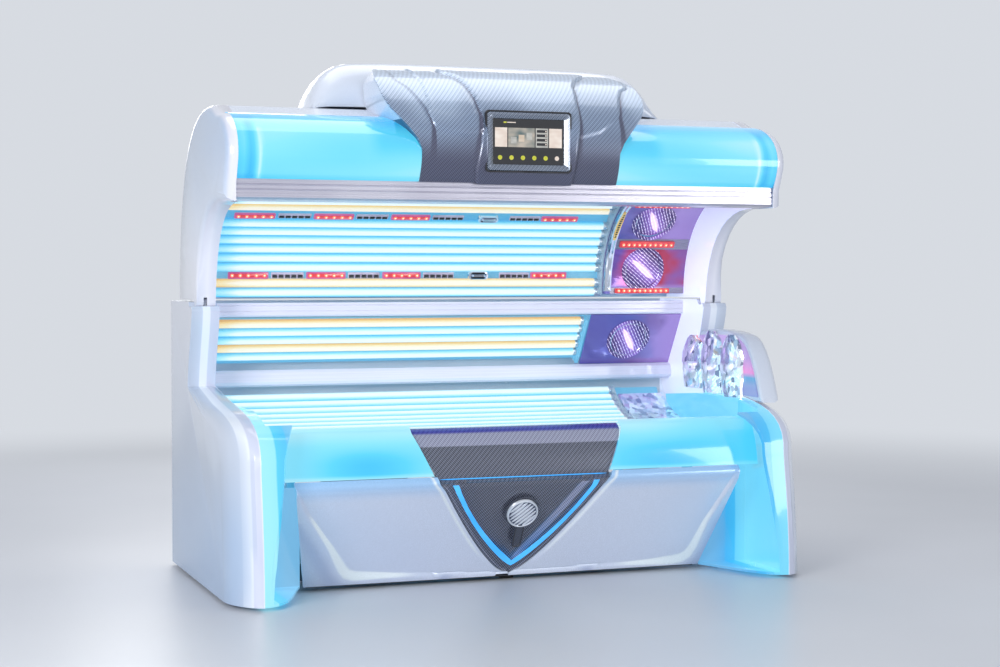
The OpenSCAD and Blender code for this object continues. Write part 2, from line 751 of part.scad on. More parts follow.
module canopy_shell() {
    color("white") slab(strip(shell_curve, 0, -shell_wall), -cap_in + gap, cap_in - gap);
}

// Raised cowl over the middle of the crown, fading out towards its ends
cowl_back = 590;
cowl_front = run([for (i = [0:16]) shell_curve[i]]) + 67;
cowl_base = [for (i = [0:11])
    spot(shell_curve, cowl_back + (cowl_front - cowl_back) * i / 11)[0]];
cowl_lip = 9;
cowl_top = concat(bez(beside(cowl_base, cowl_lip)[0], from_hinge(240, canopy_rise + 110),
    from_hinge(80, canopy_rise + cowl_rise), from_hinge(-100, canopy_rise + cowl_rise), 6),
    bez(from_hinge(-150, canopy_rise + cowl_rise - 4), from_hinge(-200, canopy_rise + cowl_rise - 12),
        from_hinge(-266, canopy_rise + cowl_rise * 0.7), beside(cowl_base, cowl_lip)[11], 4));
cowl_half = 750;
cowl_steps = [[1, 0.02], [0.985, 0.3], [0.96, 0.52], [0.93, 0.68], [0.89, 0.81],
    [0.84, 0.91], [0.78, 0.96], [0.6, 0.99], [0.3, 1]];
cowl_seat = 0.6;
cowl_step = 3;
function cowl_ring(x, k) = let (wall = min(shell_wall, 3 + 10 * k),
    low = beside(cowl_base, cowl_seat + wall),
    high = [for (i = [0:len(low) - 1]) low[i] + (cowl_top[i] + [0, cowl_step] - low[i]) * k])
    concat(ring_at(x, high), ring_at(x - sign(x) * shell_wall, rev(beside(high, -wall))));
module top_cowl() {
    color("white") loft(concat([for (s = cowl_steps) cowl_ring(-s[0] * cowl_half, s[1])],
        rev([for (s = cowl_steps) cowl_ring(s[0] * cowl_half, s[1])])), band = true);
}

module cap() {
    rounding = 40;
    difference() {
        loft([for (s = [[cap_in, 0], [cap_out - rounding, 0], [cap_out - 24, 3],
            [cap_out - 12, 10], [cap_out - 4, 22], [cap_out, rounding]])
            cap_ring(s[0], s[1])]);
        translate([cap_in - 1, rail_front - 200, chin_z - 40])
            cube([rail_end - cap_in + 1 + gap, rail_depth + 216, rail_top - chin_z + 80]);
        slab(strip(nose_curve, 30, -40), cap_in - 1, rail_end + gap);
        slab(inset(cap_core, shell_wall + 1), cap_in + shell_wall, cap_out - rounding);
        slab(inset(cap_core, rounding + 8), cap_in + shell_wall + 1, cap_out - 9);
        rod_x(cap_in + shell_wall, cap_out - 9, [hinge_y, hinge_z], knuckle - 5);
        translate([cap_in + shell_wall, hinge_y, hinge_z - 40])
            cube([cap_out - cap_in - 9 - shell_wall, canopy_back - 30, 90]);
        translate([hinge_plate_x - 3, hinge_y - knuckle - 2, hinge_z - 40])
            cube([plate + 6, 2 * knuckle, 54]);
        for (b = beams) translate([cap_in - 1, hinge_y + b[0] - beam / 2 - 1,
            hinge_z + b[1] - beam / 2 - 1]) cube([20, beam + 2, beam + 2]);
    }
}
module cap_left() {
    color("white") mirror([1, 0, 0]) cap();
}
module cap_right() {
    color("white") cap();
}

// Outline of the console seen from the front, grown by m
console_low = rail_top + gap;
function console_shape(m) = let (a = console_foot / 2 + m, b = console_head / 2 + m)
    [[-a, console_low - 60], [-a, console_low + 120], [-a - (b - a) * 0.35, console_low + 200],
        [-a - (b - a) * 0.8, console_low + 270], [-b, console_low + 340],
        [-b, console_low + 400 + m], [-b + 40, console_low + 700],
        [b - 40, console_low + 700], [b, console_low + 400 + m],
        [b, console_low + 340], [a + (b - a) * 0.8, console_low + 270],
        [a + (b - a) * 0.35, console_low + 200], [a, console_low + 120],
        [a, console_low - 60]];
module nose_light(sign) {
    x0 = sign > 0 ? 1 : -rail_end;
    color("deepskyblue") difference() {
        slab(strip(nose_curve, 0, -shell_wall), x0, x0 + rail_end - 1);
        through() polygon(console_shape(gap));
    }
}
module nose_light_left() {
    nose_light(-1);
}
module nose_light_right() {
    nose_light(1);
}
screen_x = 22;
screen_z = console_low + 158;
bezel_front = console_front(screen_z);
function console_front(z) = let (hits = [for (i = [0:len(console_curve) - 2])
    let (p = console_curve[i], q = console_curve[i + 1])
    if (p[1] <= z && q[1] > z) p[0] + (q[0] - p[0]) * (z - p[1]) / (q[1] - p[1])]) hits[0];
frame_w = screen_width + 2 * bezel;
frame_h = screen_height + 2 * bezel;
module screen_block(w, h, y0, y1) {
    translate([screen_x - w / 2, bezel_front + y0, screen_z - h / 2]) cube([w, y1 - y0, h]);
}
module console() {
    color("#5a6170") difference() {
        union() {
            intersection() {
                slab(strip(console_curve, 0, 8), -console_head / 2, console_head / 2);
                through() polygon(console_shape(0));
            }
            intersection() {
                slab(strip(console_curve, -8, 6), screen_x - 215, screen_x + 215);
                through() polygon([for (p = [[-190, 0], [190, 0], [215, 380], [-215, 380]])
                    [screen_x + p[0], console_low + p[1]]]);
            }
        }
        screen_block(frame_w + 2 * gap, frame_h + 2 * gap, -60, 60);
    }
}
module screen_frame() {
    color("#3a3d46") difference() {
        screen_block(frame_w, frame_h, -16, 14);
        screen_block(screen_width, screen_height, -30, 8);
    }
}
module screen() {
    color("black") screen_block(screen_width - 2 * gap, screen_height - 2 * gap, -8, 8);
}

module front_rail() {
    color("silver") difference() {
        slab([[rail_front, rail_top], [rail_front, rail_top - rail_height + 8],
            [rail_front + 10, rail_top - rail_height],
            [rail_front + rail_depth, rail_top - rail_height - 4],
            [rail_front + rail_depth + 14, rail_top - rail_height + 12],
            [rail_front + rail_depth, rail_top - 10], [rail_front + 40, rail_top]],
            -rail_end, rail_end);
        for (z = [24, 44]) translate([-half, rail_front - 20, rail_top - z])
            cube([bed_length, 24, 4]);
    }
}
split = lamp_end + 20;
module canopy_acrylic() {
    color("aqua", 0.5) slab(strip(inner_curve, 0, acrylic), -cap_in + seat_gap, split);
}
module canopy_lamps(at) {
    for (s = at) rod_x(lamp_start, lamp_end, spot(lamp_line, s)[0], lamp_radius);
}
module canopy_lamps_white() {
    color("white") canopy_lamps(white_at);
}
module canopy_lamps_gold() {
    color("khaki") canopy_lamps(gold_at);
}
module canopy_reflector() {
    color("silver") slab(strip(roof_curve, reflector_offset, reflector_offset + sheet),
        -cap_in + seat_gap, cap_in - seat_gap);
}
module canopy_lampholders() {
    color("whitesmoke") {
        holder_blocks(lamp_line, concat(white_at, gold_at), lamp_start - gap - holder, holder,
            lamp_radius - 2);
        holder_blocks(lamp_line, concat(white_at, gold_at), lamp_end + gap, holder,
            lamp_radius - 2);
        for (x = [-cap_in + seat_gap + gap, lamp_end + holder])
            slab(strip(roof_curve, acrylic + gap, reflector_offset - gap), x, x + 7);
    }
}

// Sets its children on the inner face of the canopy at the distance s
module on_curve(x, s, out) {
    p = spot(inner_curve, s);
    n = [p[1][1], -p[1][0]];
    translate([x, p[0][0] - n[0] * out, p[0][1] - n[1] * out])
        rotate([atan2(-n[0], n[1]) + 180, 0, 0]) children();
}
seat = 1.1;
led_x = [-920, -585, -250, 430];
vent_x = [-752, -418, -82, 268];
nozzle_x = 98;
led_w = 172;
module led_module(w, n) {
    translate([-w / 2, -15, 0]) cube([w, 30, 8]);
    for (i = [0:n - 1]) translate([(i - (n - 1) / 2) * w / n, 0, 8 - 1]) cylinder(h = 4, r = 7);
}
module led_modules() {
    color("red") {
        for (s = [row_low, row_high], x = led_x) on_curve(x, s, seat) led_module(led_w, 5);
        for (s = [232, 478]) on_curve(lamp_x + 40, s, seat) led_module(260, 10);
    }
}
nozzle_bore = 3.4;
module vent_modules() {
    color("black") for (s = [row_low, row_high]) {
        for (x = vent_x) on_curve(x, s, seat) difference() {
            translate([-70, -13, 0]) cube([140, 26, 7]);
            for (i = [-2:2]) translate([i * 25 - 9, -8, 3]) cube([18, 16, 9]);
        }
        on_curve(nozzle_x, s, seat) difference() {
            translate([-46, -17, 0]) cube([92, 34, 16]);
            translate([-34, -14, 2]) cube([68, 28, 20]);
            translate([-50, 0, 10]) rotate([0, 90, 0]) cylinder(h = 100, r = nozzle_bore);
        }
    }
}
module nozzle(s) {
    color("silver") on_curve(nozzle_x, s, seat) {
        translate([-33, 0, 10]) rotate([0, 90, 0]) cylinder(h = 66, r = 7.4);
        translate([-43, 0, 10]) rotate([0, 90, 0]) cylinder(h = 86, r = nozzle_bore - gap);
        translate([-26, -5, 10]) cube([52, 10, 12]);
    }
}
module upper_nozzle() {
    nozzle(row_high);
}
module lower_nozzle() {
    nozzle(row_low);
}

face_at = [110, 355, 600];
module at_face(s, x) {
    p = spot(inner_curve, s);
    n = [p[1][1], -p[1][0]];
    translate([x, p[0][0], p[0][1]]) rotate([atan2(-n[0], n[1]), 0, 0]) children();
}
module face_housing() {
    color("mediumpurple") difference() {
        union() {
            slab(strip(inner_curve, 0, 6), split + 26, cap_in - seat_gap);
            slab(strip(roof_curve, -16, reflector_offset - gap), split + 2, split + 26);
        }
        for (s = face_at) at_face(s, lamp_x + 40) translate([0, 0, -40])
            cylinder(h = 80, d = face_lamp + 2 * gap);
    }
}
module face_lamps() {
    color("thistle") for (s = face_at) at_face(s, lamp_x + 40)
        translate([0, 0, -4]) cylinder(h = face_depth, d = face_lamp);
}

base_frame();
levelling_feet();
hinge_pins();
balance_springs();
back_panel();
end_panel_left();
end_panel_right();
end_light_left();
end_light_right();
front_light_band();
lower_panel_left();
lower_panel_right();
centre_shield();
shield_light();
lock_knob();
kick_strip();
bench_acrylic();
bench_lamps();
bench_reflector();
bench_lampholders();
head_reflector();
side_acrylic();
side_lamps_white();
side_lamps_gold();
side_reflector();
upper_rail();
lower_rail();
shoulder_lamp();
shoulder_housing();
head_shell();
head_crystal();
control_pod();
start_button();
ballast_tray();
fan_housing();
fan_rotor();
power_inlet();
canopy_frame();
canopy_shell();
top_cowl();
cap_left();
cap_right();
nose_light_left();
nose_light_right();
console();
screen_frame();
screen();
front_rail();
canopy_acrylic();
canopy_lamps_white();
canopy_lamps_gold();
canopy_reflector();
canopy_lampholders();
led_modules();
vent_modules();
upper_nozzle();
lower_nozzle();
face_housing();
face_lamps();
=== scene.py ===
import bpy
import bmesh
import math
import random
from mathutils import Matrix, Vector


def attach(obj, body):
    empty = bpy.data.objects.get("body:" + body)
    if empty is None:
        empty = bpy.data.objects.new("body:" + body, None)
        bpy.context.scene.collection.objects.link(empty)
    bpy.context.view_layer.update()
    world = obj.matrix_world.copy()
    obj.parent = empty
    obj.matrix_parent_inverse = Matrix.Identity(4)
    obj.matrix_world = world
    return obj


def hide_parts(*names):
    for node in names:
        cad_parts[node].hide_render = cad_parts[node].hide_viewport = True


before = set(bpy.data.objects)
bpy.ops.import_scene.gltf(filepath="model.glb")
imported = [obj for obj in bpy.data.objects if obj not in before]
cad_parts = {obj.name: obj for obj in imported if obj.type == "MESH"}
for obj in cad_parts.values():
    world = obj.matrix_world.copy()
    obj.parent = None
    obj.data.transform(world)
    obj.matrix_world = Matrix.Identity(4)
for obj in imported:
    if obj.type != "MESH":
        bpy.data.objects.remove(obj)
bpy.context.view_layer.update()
print("frame loaded:", len(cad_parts), "nodes")

mm = 0.001
fullTurn = 2 * math.pi
hinge = (195, 1130)


# curves in the side view are lists of (y, z) in millimetres
def bezier(a, b, c, d, steps):
    points = []
    for t in shares(steps):
        u = 1 - t
        points.append(tuple(u ** 3 * a[k] + 3 * u * u * t * b[k] + 3 * u * t * t * c[k]
                            + t ** 3 * d[k] for k in (0, 1)))
    return points


def through(points, steps):  # a smooth line through the points
    out = []
    last = len(points) - 1
    for i in range(last):
        p0, p1, p2, p3 = points[max(i - 1, 0)], points[i], points[i + 1], points[min(i + 2, last)]
        for j in range(steps):
            t = j / steps
            out.append(tuple(0.5 * (2 * p1[k] + (p2[k] - p0[k]) * t
                                    + (2 * p0[k] - 5 * p1[k] + 4 * p2[k] - p3[k]) * t * t
                                    + (3 * p1[k] - p0[k] - 3 * p2[k] + p3[k]) * t ** 3)
                             for k in range(len(p1))))
    return out + [tuple(points[-1])]


def fromHinge(y, z):
    return (hinge[0] + y, hinge[1] + z)


def between(a, b):  # length from one point to the next
    return math.hypot(b[0] - a[0], b[1] - a[1])


def runLength(curve):
    return sum(between(a, b) for a, b in zip(curve, curve[1:]))


def beside(curve, d):  # moved sideways, to its right as it runs
    out = []
    for i, p in enumerate(curve):
        a, b = curve[max(i - 1, 0)], curve[min(i + 1, len(curve) - 1)]
        length = between(a, b)
        out.append((p[0] + d * (b[1] - a[1]) / length, p[1] - d * (b[0] - a[0]) / length))
    return out


def spot(curve, s):  # point and direction at a distance along the curve
    for i, (a, b) in enumerate(zip(curve, curve[1:])):
        length = between(a, b)
        if s <= length or i == len(curve) - 2:
            d = ((b[0] - a[0]) / length, (b[1] - a[1]) / length)
            return (a[0] + d[0] * s, a[1] + d[1] * s), d
        s -= length


def resample(curve, step):  # the curve's points, evenly spaced
    count = max(2, round(runLength(curve) / step))
    return [spot(curve, runLength(curve) * k / count)[0] for k in range(count + 1)]


def inset(outline, d):  # closed outline moved inward, for outlines that run anticlockwise
    widest = 1.2  # holds back the points of sharp corners
    out = []
    for i, p in enumerate(outline):
        a, b = outline[i - 1], outline[(i + 1) % len(outline)]
        u = Vector((p[0] - a[0], p[1] - a[1])).normalized()
        v = Vector((b[0] - p[0], b[1] - p[1])).normalized()
        m = Vector((-u[1] - v[1], u[0] + v[0]))
        k = 2 * d / max(m.length_squared, widest)
        out.append((p[0] + m[0] * k, p[1] + m[1] * k))
    return out


def circle(radius, count):
    angles = [fullTurn * k / count for k in range(count)]
    return [(radius * math.cos(a), radius * math.sin(a)) for a in angles]


def ovalOutline(wide, tall, corner):  # rounded rectangle, anticlockwise
    out = []
    for cx, cy, start in ((1, 1, 0), (-1, 1, 90), (-1, -1, 180), (1, -1, 270)):
        for k in range(7):
            a = math.radians(start + 15 * k)
            out.append((cx * (wide / 2 - corner) + corner * math.cos(a),
                        cy * (tall / 2 - corner) + corner * math.sin(a)))
    return out


def clamp(v):
    return min(max(v, 0), 1)


def mix(a, b, t):
    return a + (b - a) * t


def shares(count):  # evenly from 0 to 1
    return [i / count for i in range(count + 1)]


def soft(low, high, v):  # 0 at low, 1 at high, eased
    t = clamp((v - low) / (high - low))
    return t * t * (3 - 2 * t)


def hump(v, middle, wide):  # 1 at the middle, falling off like a bell
    return math.exp(-((v - middle) / wide) ** 2)


def lookUp(table, v):  # value at v in a list of (place, value)
    if v <= table[0][0]:
        return table[0][1]
    for (a, x), (b, y) in zip(table, table[1:]):
        if v <= b:
            return mix(x, y, (v - a) / (b - a))
    return table[-1][1]


def swapped(curve, upside=False):  # (z, y) pairs, to look y up at a height
    return [(z, y) for y, z in (curve[::-1] if upside else curve)]


# meshes are gathered as points in millimetres and faces, and turned into one object each
class Shape:
    def __init__(self):
        self.points = []
        self.faces = []
        self.finish = []
        self.glow = []
        self.mark = []  # a point's place on its own small part, for stripes and weaves

    def add(self, points, faces, finish=0, glow=None, mark=None):
        start = len(self.points)
        self.points += [Vector(p) for p in points]
        self.faces += [[i + start for i in f] for f in faces]
        self.finish += [finish] * len(faces)
        self.glow += glow or [0.5] * len(points)
        self.mark += mark or [(0, 0, 0)] * len(points)
        return self

    def rings(self, rings, finish=0, closed=False, glow=None, mark=None):  # rings joined in order
        n, m = len(rings[0]), len(rings)
        faces = [[j * n + i, j * n + (i + 1) % n, (j + 1) % m * n + (i + 1) % n, (j + 1) % m * n + i]
                 for j in range(m if closed else m - 1) for i in range(n)]
        if not closed:
            faces += [list(range(n))[::-1], list(range((m - 1) * n, m * n))]
        return self.add([p for r in rings for p in r], faces, finish, glow, mark)

    def grid(self, rows, thick):  # a sheet of rows of points, given a thickness
        m, n = len(rows), len(rows[0])
        front = [Vector(p) for r in rows for p in r]
        back = []
        for j in range(m):
            for i in range(n):
                u = front[j * n + min(i + 1, n - 1)] - front[j * n + max(i - 1, 0)]
                v = front[min(j + 1, m - 1) * n + i] - front[max(j - 1, 0) * n + i]
                back.append(front[j * n + i] - u.cross(v).normalized() * thick)
        faces = []
        size = m * n
        for j in range(m - 1):
            for i in range(n - 1):
                a, b, c, d = j * n + i, j * n + i + 1, (j + 1) * n + i + 1, (j + 1) * n + i
                faces += [[a, b, c, d], [size + d, size + c, size + b, size + a]]
        rim = (list(range(n)) + [j * n + n - 1 for j in range(1, m)]
               + [(m - 1) * n + i for i in range(n - 2, -1, -1)] + [j * n for j in range(m - 2, 0, -1)])
        faces += [[b, a, a + size, b + size] for a, b in zip(rim, rim[1:] + rim[:1])]
        return self.add(front + back, faces)

    def lathe(self, profile, base, axis, side, sides, finish=0, glow=None):  # (along, radius), turned
        axis = Vector(axis).normalized()
        side = (Vector(side) - axis * axis.dot(Vector(side))).normalized()
        rays = [side * c + axis.cross(side) * s for c, s in circle(1, sides)]
        rings = [[Vector(base) + axis * along + ray * radius for ray in rays] for along, radius in profile]
        shine = [0.5 + 0.5 * ray.dot(Vector(glow)) if glow else 0.5 for ray in rays] * len(profile)
        return self.rings(rings, finish, glow=shine)

    def block(self, low, high, finish=0, put=None):
        spans = list(zip(low, high))
        points = [(x, y, z) for x in spans[0] for y in spans[1] for z in spans[2]]
        if put:
            points = [put(*p) for p in points]
        return self.add(points, [[0, 1, 3, 2], [4, 6, 7, 5], [0, 4, 5, 1], [2, 3, 7, 6],
                                 [0, 2, 6, 4], [1, 5, 7, 3]], finish)

    def sweep(self, curve, s0, s1, steps, section, finish=0):  # section(t) gives (x, height) points
        rings = []
        for t in shares(steps):
            p, d = spot(curve, mix(s0, s1, t))
            rings.append([(x, p[0] - d[1] * w, p[1] + d[0] * w) for x, w in section(t)])
        return self.rings(rings, finish)

    def tube(self, path, radius):  # a round bead along a line in space, thinner at its ends
        path = [Vector(p) for p in path]
        rings = []
        for i, p in enumerate(path):
            ahead = (path[min(i + 1, len(path) - 1)] - path[max(i - 1, 0)]).normalized()
            side = ahead.cross(Vector((0, 1, 0.2))).normalized()
            up = side.cross(ahead)
            size = radius * (0.35 if i in (0, len(path) - 1) else 1)
            rings.append([p + side * c * size + up * s * size for c, s in circle(1, 8)])
        return self.rings(rings)

    def pad(self, outline, levels, put, finish=0):  # an outline grown or shrunk at each height
        rings, marks = [], []
        for grow, height in levels:
            ring = inset(outline, -grow) if grow else outline
            rings.append([put(*p, height) for p in ring])
            marks += [(p[0] * mm, p[1] * mm, height * mm) for p in ring]
        return self.rings(rings, finish, mark=marks)

    def shade(self, level, sheet=False):  # glow from level(x, z); a sheet's back takes that of its front
        points = self.points[:len(self.points) // 2] if sheet else self.points
        self.glow = [clamp(level(p[0], p[2])) for p in points] * (2 if sheet else 1)


looks = {}


def smoothed(mesh, gap, sharp, flat=None):  # welds, merges flat faces where asked and smooths the shading
    work = bmesh.new()
    work.from_mesh(mesh)
    bmesh.ops.remove_doubles(work, verts=work.verts, dist=gap)
    if flat:
        bmesh.ops.dissolve_limit(work, angle_limit=math.radians(flat), verts=work.verts, edges=work.edges)
    bmesh.ops.recalc_face_normals(work, faces=work.faces)
    work.to_mesh(mesh)
    work.free()
    mesh.shade_smooth()
    mesh.set_sharp_from_angle(angle=math.radians(sharp))


def placed(name, mesh, bevel=0, segments=3, limit=30):
    made = bpy.data.objects.new(name, mesh)
    bpy.context.scene.collection.objects.link(made)
    if bevel:
        rounded = made.modifiers.new("rounded", "BEVEL")
        rounded.width = bevel * mm
        rounded.segments = segments
        rounded.limit_method = "ANGLE"
        rounded.angle_limit = math.radians(limit)
        rounded.harden_normals = True
    return made


def piece(name, shape, finishes, body, replaced=None, bevel=0, sharp=38):
    mesh = bpy.data.meshes.new(name)
    mesh.from_pydata([p * mm for p in shape.points], [], shape.faces)
    for i, face in enumerate(mesh.polygons):
        face.material_index = shape.finish[i]
    mesh.attributes.new("glow", "FLOAT", "POINT").data.foreach_set("value", shape.glow)
    marks = [c for m in shape.mark for c in m]
    mesh.attributes.new("mark", "FLOAT_VECTOR", "POINT").data.foreach_set("vector", marks)
    smoothed(mesh, gap=1e-6, sharp=sharp)
    for finish in finishes.split():
        mesh.materials.append(looks[finish])
    made = placed(name, mesh, bevel)
    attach(made, body)
    if replaced:
        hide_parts(replaced)


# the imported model's own piece, welded, with its edges rounded
def dressed(cadName, finish, body, bevel=1.5, segments=2, sharp=32, flat=1.5):
    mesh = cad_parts[cadName].data.copy()
    mesh.materials.clear()
    mesh.materials.append(looks[finish])
    for face in mesh.polygons:
        face.material_index = 0
    smoothed(mesh, gap=2e-5, sharp=sharp, flat=flat)
    made = placed(cadName + "_skin", mesh, bevel, segments, limit=32)
    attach(made, body)
    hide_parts(cadName)


# materials are node trees; values are numbers, colours or other nodes' sockets
def feed(socket, value):
    if isinstance(value, bpy.types.NodeSocket):
        socket.id_data.links.new(value, socket)
    elif socket.type == "RGBA":
        socket.default_value = (*value, 1)
    else:
        socket.default_value = value


def setUp(made, values):
    for key, value in values.items():
        feed(made.inputs[key], value)


def node(tree, kind, settings=None, **values):
    made = tree.nodes.new("ShaderNode" + kind)
    for key, value in (settings or {}).items():
        setattr(made, key, value)
    setUp(made, values)
    return made


def freshMaterial(name):
    looks[name] = bpy.data.materials.new(name)
    looks[name].use_nodes = True
    tree = looks[name].node_tree
    tree.nodes.clear()
    shader = node(tree, "BsdfPrincipled")
    feed(node(tree, "OutputMaterial").inputs[0], shader.outputs[0])
    return tree, shader


def mapped(tree, stretch=(1, 1, 1)):  # the surface's own place, in metres
    return node(tree, "Mapping", Vector=node(tree, "TexCoord").outputs["Object"], Scale=stretch).outputs[0]


def noise(tree, scale, detail=2.0, stretch=(1, 1, 1)):
    return node(tree, "TexNoise", Vector=mapped(tree, stretch), Scale=scale, Detail=detail).outputs[0]


def apart(vector):  # x, y and z of a vector
    return node(vector.id_data, "SeparateXYZ", Vector=vector).outputs


def meshValue(tree, name, kind):
    return node(tree, "Attribute", {"attribute_name": name}).outputs[kind]


def ramp(value, stops):
    made = node(value.id_data, "ValToRGB", Fac=value)
    stopList = made.color_ramp.elements
    while len(stopList) < len(stops):
        stopList.new(0.5)
    for item, (at, colour) in zip(stopList, stops):
        item.position = at
        item.color = (*colour, 1)
    return made.outputs[0]


def pair(value, colours, low=0.3, high=0.7):
    return ramp(value, [(low, colours[0]), (high, colours[1])])


def dimmed(stops, share):
    return [(at, tuple(c * share for c in colour)) for at, colour in stops]


def tell(operation, a, b=0.0):
    made = node(a.id_data, "Math", {"operation": operation})
    feed(made.inputs[0], a)
    feed(made.inputs[1], b)
    return made.outputs[0]


def plus(a, b):
    return tell("ADD", a, b)


def times(a, b):
    return tell("MULTIPLY", a, b)


def absolute(a):
    return tell("ABSOLUTE", a)


def drift(cloud, amount):  # a noise, moved to lie around 0
    return times(tell("SUBTRACT", cloud, 0.5), amount)


def reach(value, low, high, a=0.0, b=1.0):  # value between low and high, eased to between a and b
    made = node(value.id_data, "MapRange", {"interpolation_type": "SMOOTHSTEP"}, Value=value)
    setUp(made, {"From Min": low, "From Max": high, "To Min": a, "To Max": b})
    return made.outputs[0]


def blend(share, a, b):
    made = node(share.id_data, "Mix", {"data_type": "RGBA"})
    for socket, value in zip((made.inputs[0], made.inputs[6], made.inputs[7]), (share, a, b)):
        feed(socket, value)
    return made.outputs[2]


def relief(height, strength, distance=0.001):
    return node(height.id_data, "Bump", Height=height, Strength=strength, Distance=distance).outputs[0]


def paint(shader, colour, rough, metallic=0.0):
    setUp(shader, {"Base Color": colour, "Roughness": rough, "Metallic": metallic})


def lacquer(shader, weight, rough):
    setUp(shader, {"Coat Weight": weight, "Coat Roughness": rough})


def lit(shader, colour, strength):
    setUp(shader, {"Emission Color": colour, "Emission Strength": strength})


def grainy(shader, colour, rough, grain=400, bump=0.02, stretch=(1, 1, 1), metallic=0.0):  # with fine grain
    fine = noise(shader.id_data, grain, 2.0, stretch)
    paint(shader, colour, reach(fine, 0.2, 0.8, *rough), metallic)
    setUp(shader, {"Normal": relief(fine, bump)})


def mottled(name, colours, rough, scale, metallic=0.0, clear=0.0, grain=300, bump=0.05, stretch=(1, 1, 1)):
    tree, shader = freshMaterial(name)  # gently uneven colour, with a fine grain in gloss and relief
    grainy(shader, pair(noise(tree, scale, 3.0), colours, 0.35, 0.65), rough, grain, bump, stretch, metallic)
    lacquer(shader, clear, 0.06)


def brushed(name, colours, stretch=(1.5, 260, 260)):
    mottled(name, colours, (0.22, 0.42), 2.5, metallic=0.85, grain=1.0, bump=0.12, stretch=stretch)


def litPanel(name, colours, glow, strength, scale=1.3):  # glowing moulding, brighter in soft clouds
    tree, shader = freshMaterial(name)
    cloud = noise(tree, scale, 1.0, (0.7, 1.4, 1.4))
    grainy(shader, pair(cloud, colours), (0.14, 0.20), 500)
    lacquer(shader, 0.5, 0.04)
    lit(shader, pair(cloud, glow), strength)


def shining(shader, level, stops, strength, gloss=0.5):  # a lit moulding whose colour follows a level
    grainy(shader, ramp(level, dimmed(stops, 0.3)), (0.12, 0.17), 600, 0.015)
    lacquer(shader, gloss, 0.03)
    lit(shader, ramp(level, stops), strength)


def glowPanel(name, stops, strength):  # follows the brightness set on the mesh
    tree, shader = freshMaterial(name)
    level = plus(meshValue(tree, "glow", "Fac"), drift(noise(tree, 2.2, 1.0, (0.8, 1.6, 1.6)), 0.3))
    shining(shader, level, stops, strength, 0.6)


def litByPlace(name, axis, span, stops, strength):  # glow that changes across one direction
    tree, shader = freshMaterial(name)
    level = plus(reach(absolute(apart(mapped(tree))[axis]), *span), drift(noise(tree, 1.6, 1.0), 0.12))
    shining(shader, level, stops, strength)


def lampGlass(name, stops, strength):  # white core facing the sheet, deeper colour between the lamps
    tree, shader = freshMaterial(name)
    powder = noise(tree, 6.0, 2.0, (2, 60, 60))
    level = plus(meshValue(tree, "glow", "Fac"), drift(powder, 0.06))
    level = plus(level, reach(absolute(apart(mapped(tree))[0]), 0.93, 1.06, 0.0, -0.16))
    paint(shader, ramp(level, dimmed(stops, 0.18)), 0.18)
    lit(shader, ramp(level, stops), strength)
    setUp(shader, {"Normal": relief(powder, 0.02)})


def twill(where, period):  # slanting cords with a break across them, 0 to 1
    rate = fullTurn / (period * mm)
    cords = tell("SINE", times(plus(where[0], where[2]), rate))
    breaks = tell("SINE", times(tell("SUBTRACT", where[0], where[2]), rate / 2))
    return plus(plus(times(cords, 0.36), times(breaks, 0.14)), 0.5)


def woven(name, dark, light, period, metallic=0.35):  # twill under lacquer
    tree, shader = freshMaterial(name)
    weave = twill(apart(mapped(tree)), period)
    level = plus(weave, drift(noise(tree, 3.0), 0.3))
    paint(shader, pair(level, (dark, light), 0.15, 0.85), 0.25, metallic)
    lacquer(shader, 0.8, 0.05)
    setUp(shader, {"Normal": relief(weave, 0.25, 0.0006)})


def consoleCloth(name, tones, period):  # twill with painted light and shade: paler towards the crown, darker at the foot and under the folds
    tree, shader = freshMaterial(name)
    weave = twill(apart(mapped(tree)), period)
    glow = meshValue(tree, "glow", "Fac")
    low, middle, high = [pair(weave, tone, 0.1, 0.9) for tone in tones]
    colour = blend(reach(glow, 0.05, 0.45), low, middle)
    paint(shader, blend(reach(glow, 0.45, 0.85), colour, high), 0.30, 0.25)
    lacquer(shader, 0.6, 0.08)
    setUp(shader, {"Normal": relief(weave, 0.25, 0.0006)})


def shieldCloth(name, dark, pale, edge, period):  # twill: lit top edge, a paler upper band, painted reflections as pale bands beside the light strip, then dark
    tree, shader = freshMaterial(name)
    where = apart(mapped(tree))
    weave = twill(where, period)
    dark, pale, edge = [pair(weave, tone, 0.1, 0.9) for tone in (dark, pale, edge)]
    colour = blend(reach(meshValue(tree, "glow", "Fac"), 0.30, 0.72), dark, pale)
    paint(shader, blend(reach(where[2], 0.607, 0.617), colour, edge), 0.24, 0.2)
    lacquer(shader, 0.7, 0.06)
    setUp(shader, {"Normal": relief(weave, 0.3, 0.0006)})


def clearSheet(name, tint, alpha):
    tree, shader = freshMaterial(name)
    wipes = noise(tree, 3.0, 3.0, (1, 6, 6))
    paler = tuple(min(1, c * 1.1) for c in tint)
    paint(shader, pair(wipes, (tint, paler)), reach(wipes, 0, 1, 0.05, 0.125))
    lacquer(shader, 0.5, 0.03)
    setUp(shader, {"Alpha": alpha, "IOR": 1.49})


def facingSide(tree):  # how far the surface faces along the bed, 0 to 1
    return absolute(apart(node(tree, "TexCoord").outputs["Normal"])[0])


